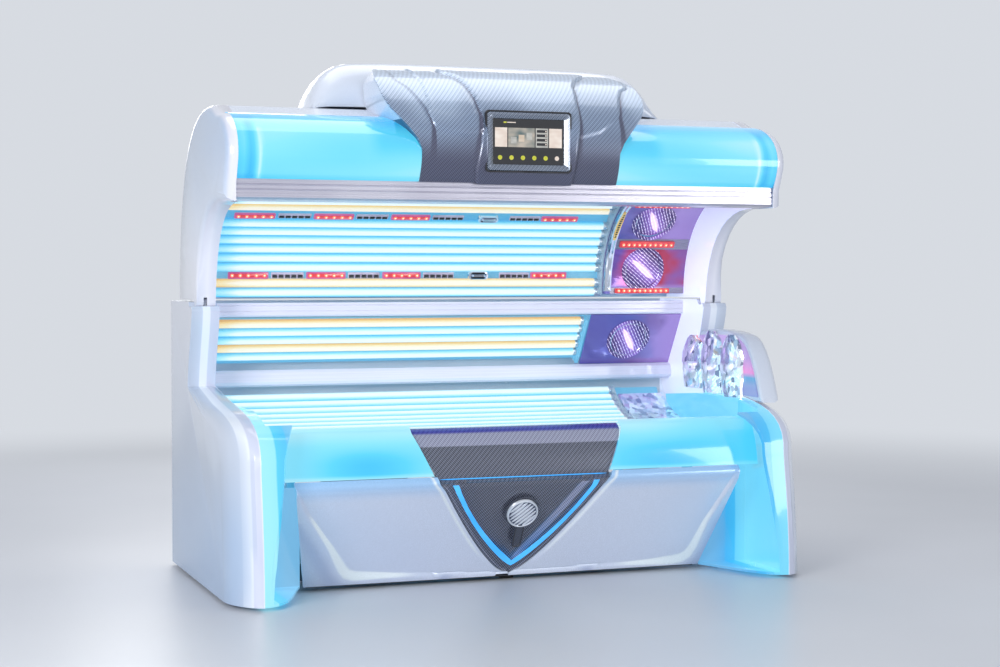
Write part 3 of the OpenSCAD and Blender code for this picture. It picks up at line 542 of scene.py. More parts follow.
def shellWithPaintedLight(name, sideShadeStops, sideShadeReach, frontReflectionStops, frontReflectionReach, inside):
    tree, shader = freshMaterial(name)  # painted shade up the sides, painted reflection bands across the front, and a painted glow of lamp light on the inner face
    where = apart(mapped(tree))
    across = absolute(where[0])
    cloud = noise(tree, 1.1, 1.0)
    up = plus(reach(where[2], *sideShadeReach), drift(cloud, 0.22))
    front = ramp(reach(across, *frontReflectionReach), frontReflectionStops)
    grainy(shader, blend(reach(facingSide(tree), 0.55, 0.92), front, ramp(up, sideShadeStops)), (0.18, 0.27))
    lacquer(shader, 0.6, 0.05)
    # the inner face glows lilac-white: painted lamp light
    inner = times(reach(across, inside + 0.004, inside), facingSide(tree))
    lit(shader, pair(cloud, ((0.74, 0.75, 0.96), (0.86, 0.86, 1.0))), times(inner, 0.56))


def lilacWithPaintedLight(name):  # metallic lilac, with a painted highlight on its chamfers, painted shade below the folds and painted blue light under the lit band
    tree, shader = freshMaterial(name)
    glow = meshValue(tree, "glow", "Fac")
    field = pair(noise(tree, 1.4, 1.0), ((0.60, 0.67, 0.83), (0.68, 0.74, 0.87)))
    # painted light: blue from the lit band along the top, pale where the glow mark is high, darker where it
    # is low
    colour = blend(reach(apart(mapped(tree))[2], 0.36, 0.45), field, (0.34, 0.58, 0.88))
    colour = blend(reach(glow, 0.55, 0.95), colour, (0.86, 0.93, 0.96))
    colour = blend(reach(glow, 0.45, 0.05), colour, (0.40, 0.47, 0.68))
    grainy(shader, colour, (0.22, 0.30), 700, 0.02, metallic=0.15)
    lacquer(shader, 0.7, 0.06)


def ribbedGlass(name):  # round face lamp: slanting wire lines and a bright bar
    tree, shader = freshMaterial(name)
    mark = meshValue(tree, "mark", "Vector")
    x, y = apart(mark)[0:2]
    waver = node(tree, "TexNoise", Vector=mark, Scale=38.0, Detail=2.0).outputs[0]
    shift = drift(waver, 0.010)
    lines = tell("SINE", times(plus(y, shift), fullTurn / 0.0125))
    cross = tell("SINE", times(plus(x, shift), fullTurn / 0.021))
    wire = reach(plus(lines, times(cross, 0.12)), 0.68, 1.02)
    off = plus(absolute(plus(y, shift)), reach(absolute(x), 0.030, 0.082, 0.0, 0.013))
    bar = times(reach(off, 0.021, 0.007), reach(absolute(x), 0.082, 0.064))
    haze = reach(absolute(y), 0.075, 0.0)
    glass = blend(haze, (0.06, 0.03, 0.13), (0.24, 0.12, 0.42))
    paint(shader, blend(wire, glass, (0.80, 0.66, 0.94)), 0.10, 0.3)
    lacquer(shader, 0.8, 0.03)
    shine = blend(wire, blend(haze, (0.05, 0.025, 0.13), (0.24, 0.11, 0.46)), (0.84, 0.68, 1.0))
    lit(shader, blend(bar, shine, (0.93, 0.70, 0.90)), reach(bar, 0, 1, 0.5, 1.05))
    setUp(shader, {"Normal": relief(lines, 0.4)})


def violetHousingWithPaintedLight(name):  # violet mirror housing, bluer to the left, with painted red light around the middle lamp and a painted glow of its own colours
    tree, shader = freshMaterial(name)
    where = apart(mapped(tree))
    across = plus(reach(where[0], 0.72, 1.08), drift(noise(tree, 3.0, 2.0, (2, 3, 3)), 0.5))
    violet = ramp(across, [(0.1, (0.10, 0.09, 0.31)), (0.5, (0.17, 0.11, 0.31)), (0.9, (0.28, 0.19, 0.45))])
    red = ramp(across, [(0.0, (0.13, 0.07, 0.32)), (0.18, (0.40, 0.05, 0.17)), (0.5, (0.46, 0.03, 0.07)),
                        (0.85, (0.34, 0.03, 0.08)), (1.0, (0.16, 0.08, 0.30))])
    # red band around the middle lamp: painted red light
    colour = blend(times(reach(where[2], 1.17, 1.20), reach(where[2], 1.375, 1.345)), violet, red)
    grainy(shader, colour, (0.12, 0.24), 200, 0.04, metallic=0.45)
    lacquer(shader, 0.5, 0.04)
    lit(shader, colour, 0.42)


def cutMirror(name, glintTints, glow):  # small mirror facets, each tilted its own way and given its own tint, which also glows as painted glints
    tree, shader = freshMaterial(name)
    cells = node(tree, "TexVoronoi", Vector=mapped(tree, (1, 1, 0.7)), Scale=46.0)
    tint = apart(cells.outputs["Color"])
    colour = ramp(tint[0], list(zip((0.0, 0.35, 0.7, 1.0), glintTints)))
    paint(shader, colour, reach(tint[1], 0, 1, 0.04, 0.16), 0.9)
    lacquer(shader, 0.6, 0.02)
    lit(shader, colour, glow)
    setUp(shader, {"Normal": relief(tint[2], 0.5, 0.004)})


def chassisWithPaintedLight(name):  # dark chassis whose tall uprights are pale above about 0.96 m: painted light over the shade in the hinge gaps
    tree, shader = freshMaterial(name)
    patch = noise(tree, 15.0)
    low = pair(patch, ((0.05, 0.054, 0.062), (0.08, 0.085, 0.095)), 0.35, 0.65)
    high = pair(patch, ((0.40, 0.44, 0.54), (0.50, 0.54, 0.64)), 0.35, 0.65)
    grainy(shader, blend(reach(apart(mapped(tree))[2], 0.94, 0.98), low, high), (0.35, 0.55), 600, 0.1)


# two colours, range of gloss, scale of the patches, metallic, clear coat, grain and its relief
mottled("shellWhite", [(0.62, 0.68, 0.79), (0.72, 0.76, 0.85)], (0.20, 0.30), 1.2, 0, 0.6, 420, 0.02)
mottled("railWhite", [(0.78, 0.75, 0.88), (0.86, 0.83, 0.94)], (0.22, 0.34), 1.0, 0, 0.5, 1.0, 0.05,
        (1.5, 260, 260))
mottled("chromeTrim", [(0.58, 0.64, 0.74), (0.74, 0.79, 0.88)], (0.05, 0.14), 6, 1.0, 0, 150, 0.02)
mottled("blackPlastic", [(0.012, 0.012, 0.015), (0.03, 0.03, 0.036)], (0.35, 0.55), 20, 0, 0, 900, 0.15)
mottled("footRubber", [(0.015, 0.015, 0.015), (0.03, 0.03, 0.03)], (0.6, 0.85), 30, 0, 0, 500, 0.3)
mottled("zincSteel", [(0.42, 0.43, 0.45), (0.56, 0.57, 0.60)], (0.25, 0.5), 40, 0.9, 0, 80, 0.06)
mottled("sheetPaint", [(0.60, 0.62, 0.66), (0.66, 0.68, 0.72)], (0.35, 0.5), 3, 0, 0, 700, 0.1)
mottled("holderWhite", [(0.50, 0.60, 0.70), (0.60, 0.68, 0.76)], (0.3, 0.45), 8, 0, 0, 500, 0.05)
mottled("podViolet", [(0.30, 0.18, 0.62), (0.46, 0.32, 0.74)], (0.12, 0.22), 14, 0, 0.6, 200, 0.02)
mottled("ventPale", [(0.52, 0.42, 0.56), (0.66, 0.56, 0.70)], (0.2, 0.3), 18, 0, 0.5, 400, 0.03)
mottled("rimLight", [(0.74, 0.80, 0.90), (0.86, 0.90, 0.97)], (0.12, 0.2), 10, 0.2, 0.5, 300, 0.01)
mottled("screenBlack", [(0.004, 0.004, 0.006), (0.008, 0.008, 0.012)], (0.05, 0.08), 20, 0, 1.0, 300, 0.0)
mottled("knobChrome", [(0.70, 0.75, 0.84), (0.88, 0.91, 0.97)], (0.16, 0.26), 9, 0.45, 0.5, 150, 0.02)
mottled("knobDish", [(0.08, 0.10, 0.15), (0.14, 0.17, 0.24)], (0.15, 0.25), 9, 0.7, 0.4, 150, 0.02)
brushed("railMetal", [(0.60, 0.58, 0.68), (0.72, 0.70, 0.79)])
brushed("greyBand", [(0.26, 0.24, 0.32), (0.40, 0.38, 0.46)])
brushed("lampCap", [(0.55, 0.62, 0.70), (0.70, 0.76, 0.82)], (40, 40, 40))
# two colours, two colours of glow, strength and scale of the clouds
litPanel("stripBlue", [(0.02, 0.16, 0.36), (0.03, 0.20, 0.42)],
         [(0.035, 0.34, 0.88), (0.07, 0.44, 0.95)], 0.95, 6)
# the cyan reflectors and the gilt oval are given a glow: painted reflected lamp light
litPanel("mirrorCyan", [(0.10, 0.26, 0.36), (0.16, 0.34, 0.44)],
         [(0.07, 0.42, 0.74), (0.12, 0.54, 0.84)], 0.55)
litPanel("goldMirror", [(0.50, 0.30, 0.08), (0.60, 0.42, 0.14)],
         [(0.55, 0.33, 0.08), (0.82, 0.62, 0.24)], 0.55, 30)
litPanel("ledTrough", [(0.22, 0.05, 0.16), (0.30, 0.08, 0.20)],
         [(0.52, 0.06, 0.20), (0.70, 0.12, 0.26)], 0.62, 20)
litPanel("ledRed", [(0.26, 0.02, 0.03), (0.34, 0.03, 0.04)],
         [(0.62, 0.03, 0.04), (0.80, 0.06, 0.07)], 0.75, 20)
litPanel("ledDome", [(0.3, 0.2, 0.12)] * 2, [(1.0, 0.66, 0.40), (1.0, 0.78, 0.52)], 1.3, 60)
litPanel("ledGlow", [(0.3, 0.04, 0.03)] * 2, [(1.0, 0.14, 0.08), (1.0, 0.22, 0.13)], 1.15, 60)
litPanel("tileCream", [(0.2, 0.17, 0.15), (0.2, 0.18, 0.16)],
         [(0.75, 0.62, 0.54), (0.95, 0.86, 0.78)], 0.75, 30)
litPanel("tileTeal", [(0.04, 0.05, 0.05), (0.1, 0.09, 0.08)],
         [(0.10, 0.16, 0.17), (0.62, 0.55, 0.46)], 0.7, 26)
litPanel("tileGrey", [(0.1, 0.1, 0.1)] * 2, [(0.42, 0.42, 0.40), (0.66, 0.66, 0.60)], 0.7, 40)
litPanel("tileSand", [(0.1, 0.08, 0.06), (0.1, 0.1, 0.1)], [(0.70, 0.55, 0.40), (0.85, 0.70, 0.55)], 0.7, 40)
litPanel("tileYellow", [(0.1, 0.1, 0.01), (0.1, 0.1, 0.02)], [(0.55, 0.58, 0.03), (0.7, 0.7, 0.06)], 0.8, 40)
glowPanel("cyanBand", [(0.0, (0.045, 0.55, 0.93)), (0.35, (0.09, 0.66, 0.95)), (0.7, (0.24, 0.78, 0.98)),
                       (1.0, (0.50, 0.88, 0.98))], 0.74)
glowPanel("noseCyan", [(0.0, (0.035, 0.48, 0.90)), (0.4, (0.10, 0.66, 0.94)), (0.75, (0.24, 0.79, 0.97)),
                       (1.0, (0.52, 0.90, 0.98))], 0.74)
# the right end light takes a darker copy of the left one's colours: painted shade
for name, colours in (
        ("cyanEnd", [(0.36, 0.86, 0.99), (0.32, 0.84, 0.99), (0.10, 0.64, 0.96), (0.09, 0.58, 0.95),
                     (0.16, 0.56, 0.88), (0.24, 0.56, 0.84)]),
        ("cyanRightShaded", [(0.20, 0.72, 0.97), (0.16, 0.66, 0.96), (0.06, 0.52, 0.92), (0.06, 0.48, 0.90),
                       (0.10, 0.46, 0.84), (0.16, 0.48, 0.80)])):
    litByPlace(name, 0, (1.084, 0.90), list(zip((0.0, 0.20, 0.24, 0.55, 0.62, 1.0), colours)), 0.72)
litByPlace("headGlow", 2, (0.74, 0.90), [(0.0, (0.30, 0.36, 0.74)), (0.3, (0.18, 0.52, 0.85)),
                                         (0.5, (0.95, 0.34, 0.80)), (1.0, (0.60, 0.44, 0.86))], 0.6)
for name, colours in (
        ("lampWhite", [(0.05, 0.40, 0.78), (0.16, 0.66, 0.93), (0.46, 0.86, 0.97), (0.86, 0.98, 1.0)]),
        ("lampGold", [(0.70, 0.34, 0.05), (0.92, 0.60, 0.18), (0.96, 0.80, 0.46), (1.0, 0.93, 0.76)])):
    lampGlass(name, list(zip((0.45, 0.72, 0.88, 0.965), colours)), 0.92)
# caps and end panels: painted shade up the sides, painted reflection bands across the rounded fronts, painted
# lamp light on the inner faces
shellWithPaintedLight("capShell",
             [(0.0, (0.80, 0.82, 0.90)), (0.4, (0.66, 0.73, 0.85)), (1.0, (0.40, 0.51, 0.69))], (1.15, 1.86),
             [(0.0, (0.72, 0.72, 0.82)), (0.45, (0.80, 0.80, 0.88)), (1.0, (0.66, 0.69, 0.80))],
             (1.10, 1.178), 1.102)
shellWithPaintedLight("endShell",
             [(0.0, (0.40, 0.52, 0.70)), (0.35, (0.50, 0.57, 0.68)), (1.0, (0.66, 0.69, 0.78))], (0.1, 1.12),
             [(0.0, (0.60, 0.64, 0.79)), (0.22, (0.62, 0.66, 0.81)), (0.27, (0.82, 0.87, 0.96)),
              (0.62, (0.80, 0.86, 0.95)), (0.67, (0.58, 0.66, 0.80)), (1.0, (0.50, 0.57, 0.69))],
             (1.086, 1.2), 1.088)
cutMirror("crystalCut", ((0.20, 0.22, 0.34), (0.72, 0.80, 0.90), (0.97, 0.99, 1.0), (0.62, 0.54, 0.80)), 0.22)
cutMirror("benchCut", ((0.16, 0.22, 0.40), (0.52, 0.66, 0.84), (0.82, 0.94, 1.0), (0.44, 0.36, 0.66)), 0.3)
woven("darkWeave", (0.008, 0.010, 0.018), (0.11, 0.125, 0.175), 7.5)
woven("bezelWeave", (0.04, 0.05, 0.08), (0.34, 0.40, 0.50), 8, 0.4)
consoleCloth("consoleWeave", [[(0.035, 0.04, 0.075), (0.13, 0.14, 0.22)],
                              [(0.07, 0.10, 0.17), (0.36, 0.46, 0.63)],
                              [(0.17, 0.23, 0.34), (0.54, 0.66, 0.83)]], 9)
shieldCloth("shieldWeave", [(0.006, 0.007, 0.014), (0.21, 0.23, 0.31)],
            [(0.15, 0.16, 0.25), (0.46, 0.48, 0.62)], [(0.03, 0.03, 0.24), (0.10, 0.10, 0.50)], 9.5)
lilacWithPaintedLight("lilacPaint")
violetHousingWithPaintedLight("violetPaint")
ribbedGlass("faceGlass")
chassisWithPaintedLight("framePale")
clearSheet("clearBlue", (0.60, 0.86, 1.0), 0.07)
print("finishes made")

# side-view curves of the canopy, of its inner face and of the bed's front
noseCurve = bezier(fromHinge(-379, 726), fromHinge(-545, 715), (-490, 1740), (-375, 1600.3), 40)
consoleCurve = bezier((-381, 1600.3), (-471, 1750), (-431, 1980), (-80, 2050), 110)
innerCurve = (bezier((390, 1150), (390, 1380), (240, 1580), (-70, 1610), 48)
              + bezier((-70, 1610), (-140, 1617), (-280, 1600), (-250, 1545), 16)[1:])
roofCurve = innerCurve[:55]
bandCurve = bezier((-330, 640), (-380, 636), (-420, 541.7), (-430, 451.7), 28)
panelCurve = [(-414, 450), (-456, 448), (-470, 430), (-466, 405), (-250, 25)]
benchCurve = bezier(fromHinge(305, -365), fromHinge(275, -515), (105, 545), (-208, 565), 60)
sideLine = [fromHinge(185, -75), fromHinge(325, -300)]
consoleWidth = [(1540, 416), (1720, 416), (1760, 434), (1800, 464.6), (1840, 500), (1870, 527), (1905, 546),
                (1940, 555), (2000, 555), (2030, 535), (2050, 515)]


def onSheet(x, s):  # places (along, up, out) points on the inner face of the canopy
    p, d = spot(innerCurve, s)
    seat = 1.1

    def put(u, v, w):
        return (x + u, p[0] + d[0] * v - d[1] * (w + seat), p[1] + d[1] * v + d[0] * (w + seat))
    return put


def facing(row, sign):  # rows run so that a sheet's front lies outside on both sides of the bed
    return row if sign < 0 else row[::-1]


noseLight = {"outer": 1134, "wall": 5, "columns": 60, "edge": 0.6}


def noseLevel(x, z):  # saturated along the top edge and near the outer end, pale in the middle
    x, rise = abs(x), (z - 1600) / 256
    level = 0.72 - 0.75 * soft(0.66, 1.0, rise) + 0.12 * math.sin(rise * 5 + x / 260)
    # a dark line down the crease near the outer end and a small bright streak beside it: painted shade and
    # painted highlight
    level -= 0.55 * hump(x, 1085, 22) + 0.35 * soft(1100, 1134, x)
    level += 0.5 * hump(x, 1052, 9) * soft(0.9, 0.5, rise)
    return level - (0.30 * soft(0.10, 0.0, rise) + 0.25 * soft(640, 560, x) * soft(0.2, 0.6, rise))


for sign, side in ((-1, "Left"), (1, "Right")):
    rows = []
    for y, z in noseCurve:
        inner = lookUp(consoleWidth, z) + noseLight["edge"]
        rows.append(facing([(sign * mix(inner, noseLight["outer"], t), y, z)
                            for t in shares(noseLight["columns"])], sign))
    shape = Shape().grid(rows[::-1], noseLight["wall"])
    shape.shade(noseLevel, True)
    piece("nose" + side + "Light", shape, "noseCyan", "canopy", "nose_light_" + side.lower(),
          bevel=1.2, sharp=60)
print("nose lights made")

# folded leaves of the console, as lines of (x, z) that each leaf steps up across
leafOuter = [(-466, 1993), (-434, 1963), (-410, 1923), (-386, 1880), (-358, 1812)]
leafInner = [(-240, 2034), (-206, 2020), (-188, 1991), (-176, 1947), (-166, 1899), (-160, 1859), (-168, 1775),
             (-188, 1649), (-180, 1605)]
columnRight = [(380, 2046), (300, 2013), (266, 1983), (246, 1913), (240, 1841), (230, 1763), (220, 1664),
               (214, 1605)]
leafRight = [(518, 1994), (478, 1977), (450, 1945), (432, 1900), (420, 1862)]
shelfUpper = [(-376, 1876), (-324, 1861), (-254, 1855), (-172, 1875)]
shelfLower = [(-420, 1850), (-358, 1812), (-302, 1791), (-230, 1780), (-174, 1791)]
shelfRight = [(238, 1782), (330, 1807), (418, 1869), (480, 1930)]
consoleForm = {"column": 12, "leaf": 13, "thick": 8, "columns": 240, "recess": 22, "rim": 2.3, "border": 16}
display = {"x": 22, "z": 1758.3, "wide": 300, "tall": 180, "face": -429.0, "border": 26}
consoleSide = swapped(consoleCurve)


def acrossLine(line, z):  # x of a leaf's line at a height
    return lookUp(sorted((p[1], p[0]) for p in line), z)


def consoleRise(x, z):
    form = consoleForm
    inner, column = acrossLine(leafInner, z), acrossLine(columnRight, z)
    rise = form["column"] * soft(inner - 7, inner + 4, x) * (1 - soft(column - 4, column + 7, x))
    if x < inner:  # two leaves to the left of the column
        line, lower, upper = acrossLine(leafOuter, z), lookUp(shelfLower, x), lookUp(shelfUpper, x)
        above = soft(lower - 16, lower + 8, z)
        high = z > 1860
        first = soft(line - (6 if high else 10), line + 4, x) * (soft(-376, -372, x) if high else 1)
        shelf = soft(upper - 22, upper + 6, z) * soft(-380, -350, x)
        rise += above * (3.5 + form["leaf"] * 0.45 * first) - 3.2 * shelf
        rise -= 5.0 * math.exp(-(inner - x - 16) ** 2 / 130) * soft(1790, 1860, z)
    elif x > column:
        line, lower = acrossLine(leafRight, z), lookUp(shelfRight, x)
        rise += soft(lower - 14, lower + 8, z) * 4.6 * (1 - soft(line - 4, line + 5, x))
        rise -= 4.0 * math.exp(-(x - column - 16) ** 2 / 130) * soft(1820, 1880, z)
    wide, tall = display["wide"] / 2 + form["border"], display["tall"] / 2 + form["border"]
    inside = soft(wide + 7, wide, abs(x - display["x"])) * soft(tall + 7, tall, abs(z - display["z"]))
    return mix(rise, -form["recess"], inside)


def onConsole(x, z, lift):  # a point on the console's face, lifted off it
    y = lookUp(consoleSide, z)
    slope = Vector((0, lookUp(consoleSide, z + 4) - y, 4)).normalized()
    out = Vector((0, -slope[2], slope[1]))
    return Vector((x, y, z)) + out * (consoleRise(x, z) + lift)


def consoleLightAndShade(x, z):  # painted light and shade: pale towards the crown, dark towards the foot, and painted shade under each fold
    level = (z - 1600) / 450 + 0.25 * soft(-0.5, 1, math.sin(x / 75)) * soft(1700, 1900, z) - 0.1
    for line, way in ((leafInner, -1), (columnRight, 1), (leafOuter, -1), (leafRight, 1)):
        fold = (x - acrossLine(line, z)) * way
        level -= 0.5 * hump(fold, 9, 10) * soft(0, 3, fold)
    return level


def makeConsole():
    form = consoleForm
    rows = []
    for (y, z), (liftedY, liftedZ) in zip(consoleCurve, beside(consoleCurve, -1)):
        wide = lookUp(consoleWidth, z)
        row = []
        for t in shares(form["columns"]):
            x = wide * (2 * t - 1)
            rise = consoleRise(x, z) * soft(wide, wide - form["border"], abs(x))
            row.append((x, y + (liftedY - y) * rise, z + (liftedZ - z) * rise))
        rows.append(row)
    shape = Shape().grid(rows[::-1], form["thick"])
    shape.shade(consoleLightAndShade, True)
    piece("consoleSkin", shape, "consoleWeave", "canopy", "console", sharp=55)
    rims = Shape()
    for lines, lift, share in (((leafInner[1:8], leafOuter[1:5], columnRight[1:8], leafRight), 1.6, 1),
                               ((shelfLower[1:], shelfUpper, shelfRight[:3]), 1.3, 0.8)):
        for line in lines:
            rims.tube([onConsole(*p, lift) for p in through(line, 5)], form["rim"] * share)
    piece("consoleRims", rims, "rimLight", "canopy", sharp=70)


cheeks = {"low": 1838, "high": 2042, "back": -74, "inset": 5, "wall": 5, "rows": 34, "columns": 8}


def makeCheeks():  # close the sides between the console's edge and the cowl
    shape = Shape()
    for sign in (-1, 1):
        rows = []
        for rise in shares(cheeks["rows"]):
            z = mix(cheeks["low"], cheeks["high"], rise)
            front = lookUp(consoleSide, z) + 6
            back = max(front + 3, cheeks["back"])
            x = sign * (lookUp(consoleWidth, z) - cheeks["inset"])
            rows.append(facing([(x, mix(front, back, t), z) for t in shares(cheeks["columns"])], -sign))
        shape.grid(rows, cheeks["wall"])
    piece("consoleCheeks", shape, "shellWhite", "canopy", sharp=50)


makeConsole()
makeCheeks()
print("console made")


def makeScreen():
    d = display
    left, foot = d["x"] - d["wide"] / 2, d["z"] - d["tall"] / 2
    border = d["border"]

    def frames(levels):  # rounded frames around the display
        return [[(d["x"] + p[0], y, d["z"] + p[1])
                 for p in ovalOutline(d["wide"] + 2 * grow, d["tall"] + 2 * grow, 4 + grow * 0.35)]
                for grow, y in levels]
    shape = Shape().rings(frames(((border, -412), (border, -430), (border - 3, -438), (border - 12, -440),
                                  (3, -433), (0, -430), (0, -412))), closed=True)
    piece("screenBezel", shape, "bezelWeave", "canopy", "screen_frame", sharp=40)
    line = Shape().rings(frames(((border + 0.3, -420), (border + 0.3, -433), (border + 5, -433),
                                 (border + 5, -420))), closed=True)
    piece("screenShadowGap", line, "blackPlastic", "canopy", sharp=40)
    glass = Shape().block((left + 0.6, d["face"], foot + 0.6),
                          (left + d["wide"] - 0.6, -413.6, foot + d["tall"] - 0.6))
    piece("screenGlass", glass, "screenBlack", "canopy", "screen", bevel=1)
    tiles = Shape()
    front = d["face"] - 0.4

    def tile(x0, x1, z0, z1, finish, depth=0.3):  # places as shares of the display
        tiles.block((left + d["wide"] * x0, front - depth, foot + d["tall"] * z0),
                    (left + d["wide"] * x1, front + 0.3, foot + d["tall"] * z1), finish)
    for x0, x1, finish in ((0.03, 0.20, 0), (0.215, 0.585, 1), (0.60, 0.775, 2), (0.79, 0.97, 0)):
        tile(x0, x1, 0.38, 0.80, finish)
    for k in range(4):
        tile(0.615, 0.76, 0.42 + 0.095 * k, 0.48 + 0.095 * k, 4, 0.6)
        tile(0.735, 0.752, 0.435 + 0.095 * k, 0.465 + 0.095 * k, 0, 0.8)
    for k in range(3):
        tile(0.25 + 0.11 * k, 0.33 + 0.11 * k, 0.46 + 0.04 * k, 0.60 + 0.05 * k, 3 if k == 1 else 2, 0.6)
    for k in range(6):  # a row of plain ring marks
        centre = (left + d["wide"] * (0.10 + 0.16 * k), front + 0.2, foot + d["tall"] * 0.15)
        for profile, sides in (([(0, 5), (0, 9), (0.7, 9), (0.7, 5)], 20), ([(0, 2.6), (0.7, 2.6)], 12)):
            tiles.lathe(profile, centre, (0, -1, 0), (1, 0, 0), sides, 5 if k < 5 else 0)
    tile(0.15, 0.19, 0.90, 0.93, 5)
    tile(0.20, 0.32, 0.905, 0.925, 0)
    piece("screenTiles", tiles, "tileCream tileTeal tileGrey tileSand screenBlack tileYellow", "canopy")


makeScreen()
print("screen made")

# canopy skins
dressed("canopy_shell", "shellWhite", "canopy")
dressed("top_cowl", "shellWhite", "canopy", bevel=0, sharp=50, flat=0.2)
for side in ("left", "right"):
    dressed("cap_" + side, "capShell", "canopy", bevel=2, sharp=40, flat=0.4)
dressed("front_rail", "railMetal", "canopy")
print("canopy skins made")

# long lamps: glass with a bright side towards the sheet, and a metal cap at each end
lampForm = {"radius": 19, "offset": 32, "pitch": 41.5, "cap": 16, "sides": 36}


def makeLamps(name, curve, side, places, x0, x1, gold, body, cadName):
    shape = Shape()
    line = beside(curve, side * lampForm["offset"])
    r, cap = lampForm["radius"], lampForm["cap"]
    for s in places:
        (y, z), d = spot(line, s)
        inward = Vector((0, -d[1], d[0])) * side
        glass = x1 - x0 - 2 * cap + 2
        shape.lathe([(0, r - 5), (0.6, r - 0.6), (glass - 0.6, r - 0.6), (glass, r - 5)],
                    (x0 + cap - 1, y, z), (1, 0, 0), inward, lampForm["sides"], 0, inward)
        for end, along in ((x0, 1), (x1, -1)):
            shape.lathe([(0, r - 4), (2, r), (cap - 2, r), (cap, r - 1.5), (cap, r - 6)], (end, y, z),
                        (along, 0, 0), inward, lampForm["sides"], 1)
    glassName, slot = ("lampGold", "lamp_gold") if gold else ("lampWhite", "lamp_white")
    piece(name, shape, glassName + " lampCap", body, cadName, sharp=35)


def lampRow(first, places):
    return [first + lampForm["pitch"] * k for k in places]


whitePlaces = [9.5] + lampRow(118, range(6)) + lampRow(418, range(1, 11))
makeLamps("canopyLampsWhite", innerCurve, 1, whitePlaces, -1074, 680, False, "canopy", "canopy_lamps_white")
makeLamps("canopyLampsGold", innerCurve, 1, [51, 418], -1074, 680, True, "canopy", "canopy_lamps_gold")
makeLamps("benchLamps", benchCurve, -1, lampRow(56, range(18)), -1020, 790, False, "base", "bench_lamps")
for name, places, gold, cadName in (("sideLampsWhite", (1, 2, 4), False, "side_lamps_white"),
                                    ("sideLampsGold", (0, 3), True, "side_lamps_gold")):
    makeLamps(name, sideLine, -1, lampRow(50, places), -1069.4, 620, gold, "base", cadName)
print("lamps made")

# reflectors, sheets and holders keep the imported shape
for cadName, body in (("canopy_reflector", "canopy"), ("bench_reflector", "base")):
    dressed(cadName, "mirrorCyan", body, bevel=0, flat=0.2, sharp=50)
dressed("side_reflector", "mirrorCyan", "base", bevel=0)
for cadName, body in (("canopy_lampholders", "canopy"), ("bench_lampholders", "base")):
    dressed(cadName, "holderWhite", body, bevel=0.8)
dressed("canopy_acrylic", "clearBlue", "canopy", bevel=1, flat=0.2, sharp=50)
dressed("side_acrylic", "clearBlue", "base", bevel=1)
dressed("bench_acrylic", "clearBlue", "bench", bevel=1, flat=0.2, sharp=50)
dressed("head_reflector", "benchCut", "base", bevel=1)
print("reflectors and sheets made")

# red light modules, air slots and nozzles on the canopy's inner face
moduleRows = (84, 371)
moduleForm = {"led": (-920, -585, -250, 430), "vent": (-752, -418, -82, 268), "nozzle": 98, "dome": 8.2}
trough = [(-1, 0), (0, 1), (0, 6.5), (-1.5, 8)]


def domes(shape, put, count, spacing, foot):  # red lights, each a halo with a brighter dome in it
    for i in range(count):
        u = (i - (count - 1) / 2) * spacing
        for finish, share, low in ((3, 1.0, 0.0), (2, 0.62, 0.8)):
            rings = []
            for k in range(5):
                a = math.radians(22 * k)
                rings.append([put(u + c, s, foot + low + 3.2 * math.sin(a))
                              for c, s in circle(moduleForm["dome"] * share * math.cos(a), 16)])
            shape.rings(rings, finish)


def makeLedModules():
    shape = Shape()
    for s in moduleRows:
        for x in moduleForm["led"]:
            put = onSheet(x, s)
            shape.pad(ovalOutline(172, 30, 6), trough, put, 0)
            shape.pad(ovalOutline(160, 18, 6), [(0, 7.6), (-1, 8.6)], put, 1)
            domes(shape, put, 5, 34.4, 8.2)
    for s, tall in ((13, 22), (232, 30), (478, 30)):
        put = onSheet(faceForm["x"], s)
        shape.pad(ovalOutline(268, tall, 5), trough, put, 1)
        domes(shape, put, 10, 26, 8.0)
    piece("redLightModules", shape, "ledTrough ledRed ledDome ledGlow", "canopy", "led_modules",
          sharp=50)


def moved(outline, u, v, tall=1):
    return [(p[0] + u, p[1] * tall + v) for p in outline]


def makeVents():
    shape = Shape()
    for s in moduleRows:
        for x in moduleForm["vent"]:
            put = onSheet(x, s)
            shape.pad(ovalOutline(140, 26, 3), [(-0.5, 0), (0, 0.5), (0, 1.8), (-0.5, 2.2)], put, 1)
            shape.pad(moved(ovalOutline(139, 24, 8), 0, 8.6, 0.34), [(0, 2.0), (0, 6), (-1, 7)], put, 1)
            for i in range(5):
                u = (i - 2) * 27.5
                shape.pad(moved(ovalOutline(20, 14, 2), u, -4.5), [(0, 2.0), (0, 5.6), (-0.8, 6.4)], put, 0)
                shape.block((u - 8, -10, 5.6), (u + 8, -8.6, 6.8), 2, put)
    piece("airSlots", shape, "blackPlastic ventPale zincSteel", "canopy", "vent_modules",
          sharp=50)
    rims = Shape()
    outer, inner = ovalOutline(92, 34, 15), ovalOutline(70, 27, 12)
    for s in moduleRows:
        put = onSheet(moduleForm["nozzle"], s)
        rims.rings([[put(p[0] * k, p[1] * k, w) for p in ring] for ring, k, w in
                    ((outer, 1, 0), (outer, 1, 12), (outer, 0.97, 15), (inner, 1.04, 16), (inner, 1, 14),
                     (inner, 1, 2), (inner, 0.98, 0))], closed=True)
        rims.pad(ovalOutline(69, 26, 11), [(0, 0.4), (0, 2.0)], put, 1)
    piece("nozzleRims", rims, "chromeTrim blackPlastic", "canopy", sharp=45)


